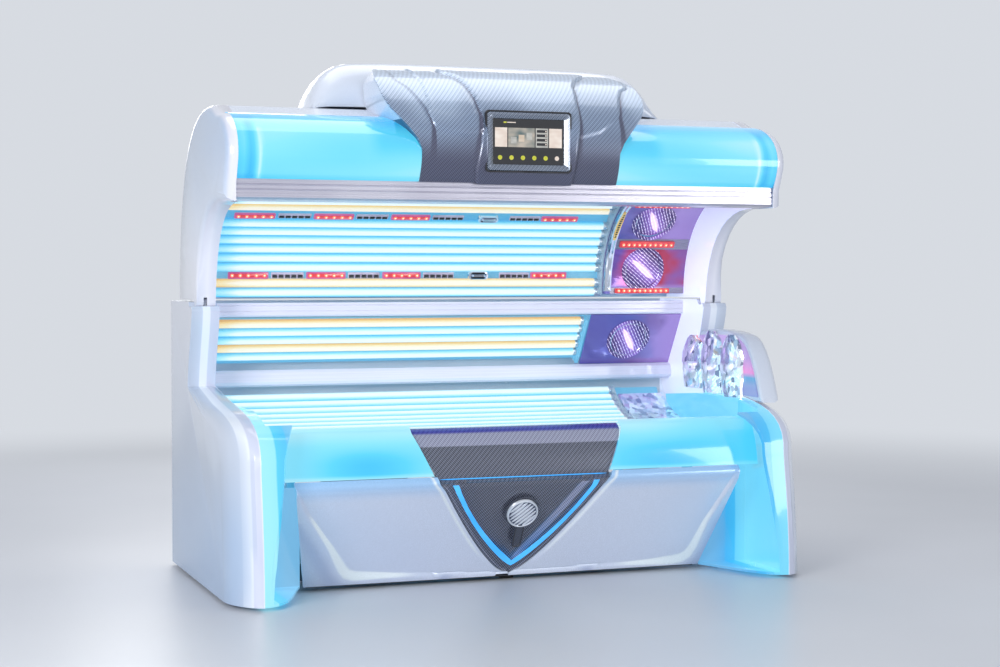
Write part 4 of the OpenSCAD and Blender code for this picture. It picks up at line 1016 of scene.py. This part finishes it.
def makeNozzle(name, s, cadName):
    put = onSheet(moduleForm["nozzle"], s)
    shape = Shape()
    for part in ([(-33, 0.6), (-33, 5), (-31, 7.4), (31, 7.4), (33, 5), (33, 0.6)],
                 [(-43, 0.6), (-43, 3.1), (-32, 3.1), (-32, 0.6)],
                 [(32, 0.6), (32, 3.1), (43, 3.1), (43, 0.6)]):
        shape.rings([[put(u, c, 10 + s) for c, s in circle(r, 28)] for u, r in part])
    shape.pad(ovalOutline(52, 10, 4), [(0, 12), (0, 19), (-1.2, 21.5)], put)
    for k in range(5):
        shape.block((-20 + 9 * k, -4.4, 18), (-16.4 + 9 * k, 4.4, 21.9), 1, put)
    piece(name, shape, "chromeTrim blackPlastic", cadName, cadName, sharp=45)


faceForm = {"x": 890, "places": (110, 355, 600), "radius": 88, "flange": 103, "turns": (38, 62, 52),
            "shoulderX": 850, "shoulderTurn": 58}
makeLedModules()
makeVents()
makeNozzle("upperNozzleVane", moduleRows[1], "upper_nozzle")
makeNozzle("lowerNozzleVane", moduleRows[0], "lower_nozzle")
print("red lights, slots and nozzles made")

# violet housing of the face lamps, with grey bands and a folded mirror divider
dressed("face_housing", "violetPaint", "canopy", bevel=1, flat=0.3)
divider = {"middle": 715, "oval": (265, 440), "ovalSteps": 20, "slots": 11, "firstSlot": 284, "slotPitch": 14}


def foldedDivider(t):
    wave = 1.5 * math.sin(23 * t) + 1.2 * math.sin(9 * t)
    return [(699.4, 0.4), (699.4, 17.8 + 0.3 * wave), (706 + wave, 21.5),
            (716 + 1.5 * wave, 18.8 - 0.5 * wave), (723, 22), (730.8, 18.0 - 0.3 * wave), (730.8, 0.4)]


def bandSection(t):
    high = 0.8 + 0.2 * math.sin(math.pi * t)
    return [(731, 0.3), (1096, 0.3), (1096, high), (731, high)]


def makeFaceTrim():
    shape = Shape()
    for s, half in ((14, 13), (232, 26), (478, 21)):
        shape.sweep(innerCurve, s - half, s + half, 8, bandSection, 0)
    shape.sweep(roofCurve, 12, 640, 60, foldedDivider, 1)
    rings = []
    for t in shares(divider["ovalSteps"]):  # gilt oval with its dark slots
        half = 3 + 8 * math.sin(math.pi * (0.06 + 0.88 * t))
        p, d = spot(roofCurve, mix(*divider["oval"], t))
        rings.append([(divider["middle"] + u * half, p[0] - d[1] * w, p[1] + d[0] * w)
                      for u, w in ((-1.15, 16), (1.15, 16), (1, 24), (-1, 24))])
    shape.rings(rings, 2)
    for k in range(divider["slots"]):
        p, d = spot(roofCurve, divider["firstSlot"] + divider["slotPitch"] * k)
        half = 4.5 * math.sin(math.pi * (0.15 + 0.7 * k / 10)) + 1
        shape.rings([[(divider["middle"] + u * half + v * 0.35,
                       p[0] + d[0] * v - d[1] * w, p[1] + d[1] * v + d[0] * w)
                      for u, v in ((-1, -4), (1, -4), (1, 4), (-1, 4))] for w in (18, 25)], 3)
    piece("faceTrim", shape, "greyBand chromeTrim goldMirror blackPlastic", "canopy",
          sharp=30)


def roundLamp(shape, centre, up, out, turn, deep, lie):  # ribbed glass dish, its flange laid on the housing
    along, up, out = Vector((1, 0, 0)), Vector(up), Vector(out)
    a = math.radians(turn)
    u, v = along * math.cos(a) - up * math.sin(a), along * math.sin(a) + up * math.cos(a)
    radius, flange, n = faceForm["radius"], faceForm["flange"], 56
    levels = [(0.2, -deep), (radius - 0.6, -deep), (radius - 0.6, -1), (radius - 4, 0.6), (radius - 5, -2.4)]
    levels += [(mix(radius - 5, 0.2, k / 10), -2.4 + 5.0 * math.sin(0.5 * math.pi * k / 10))
               for k in range(1, 11)]
    firstFace = len(shape.faces)
    shape.rings([[Vector(centre) + u * p + v * q + out * w for p, q in circle(r, n)] for r, w in levels],
                mark=[(p * mm, q * mm, 0) for r, w in levels for p, q in circle(r, n)])
    for i in range(firstFace, firstFace + 4 * n):  # the side wall and the ring
        shape.finish[i] = 1
    levels = ((radius - 2, 0.4), (flange, 0.4), (flange, 1.8), (radius + 5, 2.8), (radius, 3.0),
              (radius - 2, 2.2))
    shape.rings([[lie(p * math.cos(a) + q * math.sin(a), q * math.cos(a) - p * math.sin(a), w)
                  for p, q in circle(r, n)] for r, w in levels], closed=True,
                mark=[(p * mm, q * mm, 0) for r, w in levels for p, q in circle(r, n)])


def makeFaceLamps():
    shape = Shape()
    for place, turn in zip(faceForm["places"], faceForm["turns"]):
        p, d = spot(innerCurve, place)

        def onHousing(u, v, w):
            (y, z), along = spot(innerCurve, place + v)
            return (faceForm["x"] + u, y - along[1] * w, z + along[0] * w)
        centre = (faceForm["x"], p[0] - d[1] * 1.5, p[1] + d[0] * 1.5)
        roundLamp(shape, centre, (0, d[0], d[1]), (0, -d[1], d[0]), turn, 40, onHousing)
    piece("faceLamps", shape, "faceGlass chromeTrim", "canopy", "face_lamps", sharp=35)
    shape = Shape()
    (y0, z0), (y1, z1) = sideLine
    d = Vector((0, y0 - y1, z0 - z1)).normalized()
    out = Vector((0, -d[2], d[1]))
    middle = Vector((faceForm["shoulderX"], (y0 + y1) / 2, (z0 + z1) / 2)) + out * 4.5
    roundLamp(shape, middle, d, out, faceForm["shoulderTurn"], 38,
              lambda u, v, w: middle + Vector((u, 0, 0)) + d * v + out * (w - 2.5))
    piece("shoulderLampGlass", shape, "faceGlass chromeTrim", "base", "shoulder_lamp", sharp=35)


makeFaceTrim()
makeFaceLamps()
dressed("shoulder_housing", "violetPaint", "base", bevel=2)
print("face lamps made")

# rails and lit mouldings of the base
dressed("upper_rail", "railWhite", "base", bevel=2)
dressed("lower_rail", "railWhite", "base", bevel=3, segments=3)
dressed("end_light_left", "cyanEnd", "base", bevel=2, flat=0.4, sharp=40)
dressed("end_light_right", "cyanRightShaded", "base", bevel=2, flat=0.4, sharp=40)
for side in ("left", "right"):
    dressed("end_panel_" + side, "endShell", "base", bevel=2, flat=0.3, sharp=40)
dressed("kick_strip", "blackPlastic", "base", bevel=1)
shieldForm = {"proud": 8, "thick": 13, "gap": 2.2, "columns": 150, "widest": 443, "step": 6,
              "tip": (-252.8, 31)}
bandForm = {"end": 1039.4, "wall": 6, "columns": 40, "step": 9}
panelForm = {"wall": 9, "columns": 120, "step": 7}
shieldCurve = bandCurve + panelCurve[2:]
shieldSide = ([(30, 0)] + swapped(bezier((0, 30), (60, 38), (160, 140), (328, 390), 24)[1:])
              + [(430, 358), (615, 444), (670, 444)])


def shieldHalf(z):  # half width of the shield at a height
    return lookUp(shieldSide, z)


def bandLevel(x, z):  # pale above, deeper in the low middle, pale rim along the foot
    level = 0.66 + 0.25 * soft(560, 640, z)
    level -= 0.62 * (hump(x, -640, 190) + 0.8 * hump(x, 620, 240)) * soft(590, 500, z) * soft(452, 470, z)
    # the right half dims towards its outer end: painted shade
    level += 0.22 * soft(474, 458, z) - (0.22 if x > 0 else 0.0) * soft(0.5, 1, abs(x) / 900)
    return level - 0.18 * soft(940, 1039, abs(x))


def makeBand():  # lit roll under the bench's edge, on each side of the shield
    shape = Shape()
    for sign in (-1, 1):
        rows = []
        for y, z in resample(bandCurve, bandForm["step"]):
            inner = shieldHalf(z) + shieldForm["gap"]
            rows.append(facing([(sign * mix(inner, bandForm["end"], t), y, z)
                                for t in shares(bandForm["columns"])], sign))
        shape.grid(rows[::-1], bandForm["wall"])
    shape.shade(bandLevel)
    piece("frontLightRoll", shape, "cyanBand", "base", "front_light_band", bevel=1.5, sharp=50)
    lines = Shape()  # clear edge lines along the roll's top and foot
    for x0, x1 in ((-1038, -448), (448, 1038)):
        for z in (611, 468):
            y = lookUp(swapped(bandCurve, True), z) - 1.2
            lines.tube([(mix(x0, x1, t), y, z) for t in shares(12)], 1.6)
    piece("rollEdgeLines", lines, "clearBlue", "base", sharp=60)


panelFold = {-1: [(930, 420), (872, 324), (764, 182), (706, 92), (684, 68), (650, 57), (542, 54), (330, 44)],
             1: [(920, 425), (836, 218), (812, 110), (796, 72), (770, 54), (730, 47), (600, 42), (406, 39)]}


def foldSide(fold, x, z):  # signed distance from the fold line, above 0 on the raised field
    best, side = 1e9, 1
    for a, b in zip(fold, fold[1:]):
        ax, az = b[0] - a[0], b[1] - a[1]
        t = clamp(((x - a[0]) * ax + (z - a[1]) * az) / (ax * ax + az * az))
        dx, dz = x - a[0] - ax * t, z - a[1] - az * t
        if dx * dx + dz * dz < best:
            best = dx * dx + dz * dz
            side = 1 if ax * dz - az * dx < 0 else -1
    return side * math.sqrt(best)


def panelPoint(fold, x, z, edge):  # lift and painted light at a place, edge is how far the shield is
    d = foldSide(fold, x, z)
    wide = 7 + 15 * math.exp(-((x - fold[4][0]) / 150) ** 2 - ((z - fold[4][1]) / 150) ** 2)
    lift = 8 * soft(-wide, wide, d) * soft(445, 395, z)
    lift += 5 * soft(34, 6, edge) * soft(60, 120, z) * soft(448, 420, z)
    if z > 200:
        fade = soft(fold[0][1] - 60, fold[1][1] - 60, z)
    else:
        fade = soft(fold[-1][0] - 10, fold[-1][0] + 190, x)
    # painted highlight down the fold's chamfer, painted shade in a band below the fold, and a painted
    # highlight along the lip by the shield
    glow = 0.5 + 0.5 * math.exp(-(d / wide) ** 4) * fade
    glow -= 0.28 * soft(0, -60, d) * soft(-130, -60, d) * (1 if z < 300 else 0)
    return lift, glow + 0.35 * hump(edge, 22, 9) * soft(60, 160, z)


def sheet(rows, shine, wall):  # a sheet with a brightness for each point of its rows
    shape = Shape().grid(rows[::-1], wall)
    shape.glow = [v for row in shine[::-1] for v in row] * 2
    return shape


def makePanel(sign, name, cadName):
    curve = resample(panelCurve[1:], panelForm["step"])
    rows, shine = [], []
    for (y, z), (besideY, besideZ) in zip(curve, beside(curve, 1)):
        inner = max(shieldHalf(z) + shieldForm["gap"] if z > 34 else 1, 1)
        outer = lookUp([(0, 846), (430, 936), (470, 936)], z)
        row, light = [], []
        for t in shares(panelForm["columns"]):
            x = mix(inner, outer, t)
            lift, glow = panelPoint(panelFold[sign], x, z, x - inner)
            row.append((sign * x, y - (besideY - y) * lift, z - (besideZ - z) * lift))
            light.append(glow)
        rows.append(facing(row, sign))
        shine.append(facing(light, sign))
    shape = sheet(rows, shine, panelForm["wall"])
    piece(name, shape, "lilacPaint", "base", cadName, sharp=60)


makeBand()
makePanel(-1, "lowerPanelLeft", "lower_panel_left")
makePanel(1, "lowerPanelRight", "lower_panel_right")
print("lit roll and lower panels made")


def shieldRise(x, z):  # border, groove of the light strip and a ridge inside it, below the belt
    edge = shieldHalf(z) - abs(x)
    low = soft(432, 420, z)
    rise = -2.5 * soft(5, 0, edge) * soft(606, 590, z)
    rise -= 2.4 * soft(30, 34, edge) * soft(60, 56, edge) * low
    rise += 3.6 * soft(60, 74, edge) * soft(122, 96, edge) * low * soft(70, 130, z)
    rise -= 3.0 * soft(4, 0, abs(z - 441))
    return rise - 2.0 * soft(96, 92, math.hypot(x, (z - 300) * 1.12)) * low


def makeShield():
    form = shieldForm
    curve = [p for p in resample(shieldCurve, form["step"]) if p[1] > 33] + [form["tip"]]
    rows, shine = [], []
    for (y, z), (besideY, besideZ) in zip(curve, beside(curve, 1)):
        half = min(max(shieldHalf(z), 5), form["widest"])
        row, light = [], []
        for t in shares(form["columns"]):
            x = half * (2 * t - 1)
            lift = form["proud"] + shieldRise(x, z)
            row.append((x, y + (y - besideY) * lift, z + (z - besideZ) * lift))
            edge, below = half - abs(x), soft(428, 410, z)
            # paler upper band; the pale bands beside the light strip, brighter to the right, and the pale
            # line inside the border are painted reflections
            pale = soft(556, 578, z)
            pale += (0.34 + 0.66 * soft(-30, 70, x)) * soft(62, 76, edge) * soft(118, 92, edge) * below
            light.append(min(pale + 0.5 * soft(24, 14, edge) * soft(2, 8, edge) * below, 1))
        rows.append(row)
        shine.append(light)
    shape = sheet(rows, shine, form["thick"])
    piece("shieldSkin", shape, "shieldWeave", "shield", "centre_shield", sharp=50)
    seam = Shape()
    y = lookUp(swapped(bandCurve, True), 452) - 14.5
    seam.tube([(mix(-352, 352, t), y, 441) for t in shares(24)], 2.2)
    piece("shieldSeam", seam, "stripBlue", "shield", sharp=60)


def knobPlace(u, v, w):  # along, up and out on the knob's own axis
    return (u, -406.3 - w * 0.8694 + v * -0.4942, 300 - w * 0.4942 + v * 0.8694)


def knobRings(levels):  # (radius, height) turned round the knob's axis
    return [[knobPlace(*p, w) for p in circle(r, knobForm["sides"])] for r, w in levels]


knobForm = {"radius": 65, "foot": 10.3, "sides": 72, "dish": 56, "ribPitch": 15, "ribSteps": 14,
            "leverWide": 40, "leverTall": 110}


def knobRib(across):  # one rib across the knob's face, turned by 45 degrees
    diagonal = 0.7071
    half = math.sqrt(knobForm["dish"] ** 2 - across ** 2)
    rings = []
    for share in shares(knobForm["ribSteps"]):
        t = share * 2 - 1
        thin = math.sqrt(max(1 - t * t * 0.96, 0.02))
        rings.append([knobPlace((half * t - (across + q)) * diagonal, (half * t + (across + q)) * diagonal, w)
                      for q, w in ((-6.2 * thin, 19.6), (6.2 * thin, 19.6), (5.2 * thin, 19.6 + 4.6 * thin),
                                   (0, 19.6 + 6.4 * thin), (-5.2 * thin, 19.6 + 4.6 * thin))])
    return rings


def makeKnob():
    radius, foot, wide, tall = (knobForm[k] for k in ("radius", "foot", "leverWide", "leverTall"))
    shape = Shape()
    shape.rings(knobRings([(1, foot), (radius - 1, foot), (radius, foot + 1), (radius, 20), (63, 23.5),
                           (59, 24.6), (57, 19.8), (1, 19.8)]))
    shape.rings(knobRings([(1, 19), (56.6, 19), (56.6, 20.1), (1, 20.1)]), 3)
    shape.rings(knobRings([(1, -34), (8, -34), (8, 9.9), (1, 9.9)]))
    for i in range(-3, 4):
        shape.rings(knobRib(i * knobForm["ribPitch"]))
    shape.pad(moved(ovalOutline(wide, tall, 15), 0, -tall),
              [(-1, 12.2), (0, 13), (0, 19), (-2, 21.6), (-5, 22), (-6, 20.4)], knobPlace, 1)
    rim = moved(ovalOutline(wide - 3, tall - 3, 14), 0, -tall)
    inner = inset(rim, 3)
    shape.rings([[knobPlace(*p, w) for p in ring]
                 for ring, w in ((rim, 20.6), (rim, 22.4), (inner, 22.6), (inner, 20.6))], 2, closed=True)
    shape.block((-9, -24, -34), (9, 46, -29), 0, knobPlace)
    piece("lockKnobBody", shape, "knobChrome darkWeave blackPlastic knobDish", "lock_knob",
          "lock_knob", sharp=40)
    boss = Shape().rings(knobRings([(72, 5), (73, 6.5), (73, 8.4), (71, 9.6), (67, 9.9), (66.4, 8.0),
                                    (66.4, 5)]), closed=True)
    piece("knobBoss", boss, "darkWeave", "shield", sharp=40)


makeShield()
makeKnob()
dressed("shield_light", "stripBlue", "shield", flat=0.3)
print("shield, strip and knob made")

# raised shell at the head end with its cut-glass lobes, each (place along the depth, half width, top)
dressed("head_shell", "shellWhite", "base", bevel=2, flat=0.3, sharp=40)
lobes = {"in": 1051, "out": 1086, "deep": 33, "sides": 12, "rows": 9, "seed": 11,
         "foot": [(-400, 676), (-150, 700), (100, 716), (365, 742)],
         "places": [(248, 110, 966), (62, 106, 990), (-122, 104, 978)]}
headOutline = ([(365, 700), (365, 940)] + bezier((340, 966), (180, 1000), (-20, 1004), (-150, 985), 10)
               + bezier((-180, 980), (-260, 960), (-320, 860), (-375, 700), 12))


def makeCrystal():
    shape = Shape()
    rand = random.Random(lobes["seed"])
    n, m = lobes["sides"], lobes["rows"]
    for y, half, top in lobes["places"]:
        low = lookUp(lobes["foot"], y)
        rings = []
        for j in range(m + 1):
            t = math.sin(0.5 * math.pi * j / m)
            z = mix(low, top, t)
            narrow = ((t - 0.55) / 0.45 if t > 0.55 else 0.55 - t) ** 2
            wide = half * math.sqrt(max(0.05, 1 - narrow))
            bulge = 0.55 + 0.45 * math.sin(math.pi * (0.12 + 0.8 * t))
            ring = []
            for k in range(n):
                a = min(math.pi * (k + 0.5 * (j % 2)) / (n - 1), math.pi)
                jut = rand.uniform(0.90, 1.04)
                ring.append((max(lobes["out"] - math.sin(a) * lobes["deep"] * jut * bulge, lobes["in"]),
                             y - math.cos(a) * wide * rand.uniform(0.96, 1.02),
                             z + rand.uniform(-5, 5) * (0 < j < m)))
            rings.append(ring)
        shape.rings(rings)
    outline = inset(headOutline, 22)
    shape.rings([[(x, p[0], max(p[1], 702)) for p in outline] for x in (1087.2, 1091)], 1)
    piece("headCrystal", shape, "crystalCut headGlow", "base", "head_crystal", sharp=8)


makeCrystal()
dressed("control_pod", "podViolet", "base", bevel=3)
dressed("start_button", "chromeTrim", "start_button", bevel=1)
print("head end made")

# structure and hidden equipment
# framePale on the frames and balance springs is pale near the hinges: painted light over the shade in the
# gaps
for cadName, finish, body, slot in (
        ("base_frame", "framePale", "base", "frame_steel"),
        ("canopy_frame", "framePale", "canopy", "frame_steel"),
        ("levelling_feet", "footRubber", "base", "foot_rubber"),
        ("hinge_pins", "zincSteel", "base", "bright_steel"),
        ("balance_springs", "framePale", "base", "bright_steel"),
        ("back_panel", "sheetPaint", "base", "back_sheet"),
        ("ballast_tray", "zincSteel", "base", "bright_steel"),
        ("fan_housing", "blackPlastic", "base", "black_plastic"),
        ("fan_rotor", "blackPlastic", "fan_rotor", "black_plastic"),
        ("power_inlet", "blackPlastic", "base", "black_plastic")):
    dressed(cadName, finish, body, bevel=1)
print("structure made")

# floor, lights and camera
studio = {"key": 235, "fill": 88, "top": 52, "back": 66, "sky": 0.42, "backdrop": (0.68, 0.71, 0.76)}


def makeFloor():
    rows = [[(x * 2000, mix(-12000, 24000, t), 0) for x in range(-12, 13)] for t in shares(32)]
    shape = Shape().grid(rows, 20)
    mesh = bpy.data.meshes.new("studioFloor")
    mesh.from_pydata([p * mm for p in shape.points], [], shape.faces)
    mesh.materials.append(looks["floorPale"])
    placed("studioFloor", mesh)


def mixed(share, a, b):  # two shaders mixed
    made = node(share.id_data, "MixShader")
    for socket, value in zip(made.inputs, (share, a.outputs[0], b.outputs[0])):
        feed(socket, value)
    return made.outputs[0]


def seenDirectly(tree):  # rays on which the plain backdrop colour shows
    rays = node(tree, "LightPath").outputs
    seen = tell("MAXIMUM", rays["Is Camera Ray"], rays["Is Transmission Ray"])
    return tell("MAXIMUM", seen, rays["Is Glossy Ray"])


def paleFloor():  # satin floor that fades into the backdrop far from the bed
    tree, shader = freshMaterial("floorPale")
    paint(shader, pair(noise(tree, 0.8), ((0.62, 0.64, 0.68), (0.65, 0.67, 0.71))), 0.36)
    setUp(shader, {"Normal": relief(noise(tree, 90.0), 0.01)})
    far = node(tree, "Emission", Color=studio["backdrop"], Strength=1.0)
    length = node(tree, "VectorMath", {"operation": "LENGTH"}, Vector=mapped(tree)).outputs["Value"]
    share = times(reach(length, 3.0, 8.0), seenDirectly(tree))
    feed(tree.nodes["Material Output"].inputs[0], mixed(share, shader, far))


def makeWorld():
    world = bpy.data.worlds.new("studio")
    bpy.context.scene.world = world
    world.use_nodes = True
    tree = world.node_tree
    tree.nodes.clear()
    sky = node(tree, "Background", Color=(0.86, 0.90, 1.0), Strength=studio["sky"])
    back = node(tree, "Background", Color=studio["backdrop"], Strength=1.0)
    feed(node(tree, "OutputWorld").inputs[0], mixed(seenDirectly(tree), sky, back))


def softLamp(name, spotAt, target, wide, tall, power):
    light = bpy.data.lights.new(name, "AREA")
    light.shape = "RECTANGLE"
    light.size, light.size_y = wide, tall
    light.energy = power
    made = bpy.data.objects.new(name, light)
    made.location = spotAt
    made.rotation_euler = (Vector(target) - Vector(spotAt)).to_track_quat("-Z", "Y").to_euler()
    bpy.context.scene.collection.objects.link(made)


paleFloor()
makeFloor()
makeWorld()
softLamp("keyLamp", (-4.6, -4.4, 2.2), (0, 0, 0.9), 2.6, 1.8, studio["key"])
softLamp("fillLamp", (4.2, -4.8, 1.8), (0, 0, 0.9), 2.2, 2.2, studio["fill"])
softLamp("topLamp", (0, 0.6, 4.2), (0, 0, 1.0), 3.6, 2.4, studio["top"])
softLamp("backLamp", (0.5, 4.8, 2.6), (0, 0, 1.0), 3.0, 2.0, studio["back"])

view = {"place": (-2.624, -7.221, 1.240), "turn": 20.4, "down": 1.854, "lens": 66.49}
camera = bpy.data.objects.new("studioCamera", bpy.data.cameras.new("studioCamera"))
camera.data.lens = view["lens"]
camera.data.sensor_width = 36
camera.data.clip_end = 60
camera.location = view["place"]
camera.rotation_euler = (math.radians(90 - view["down"]), 0, math.radians(-view["turn"]))
bpy.context.scene.collection.objects.link(camera)
bpy.context.scene.camera = camera
bpy.context.scene.view_settings.view_transform = "Standard"
print("studio set")
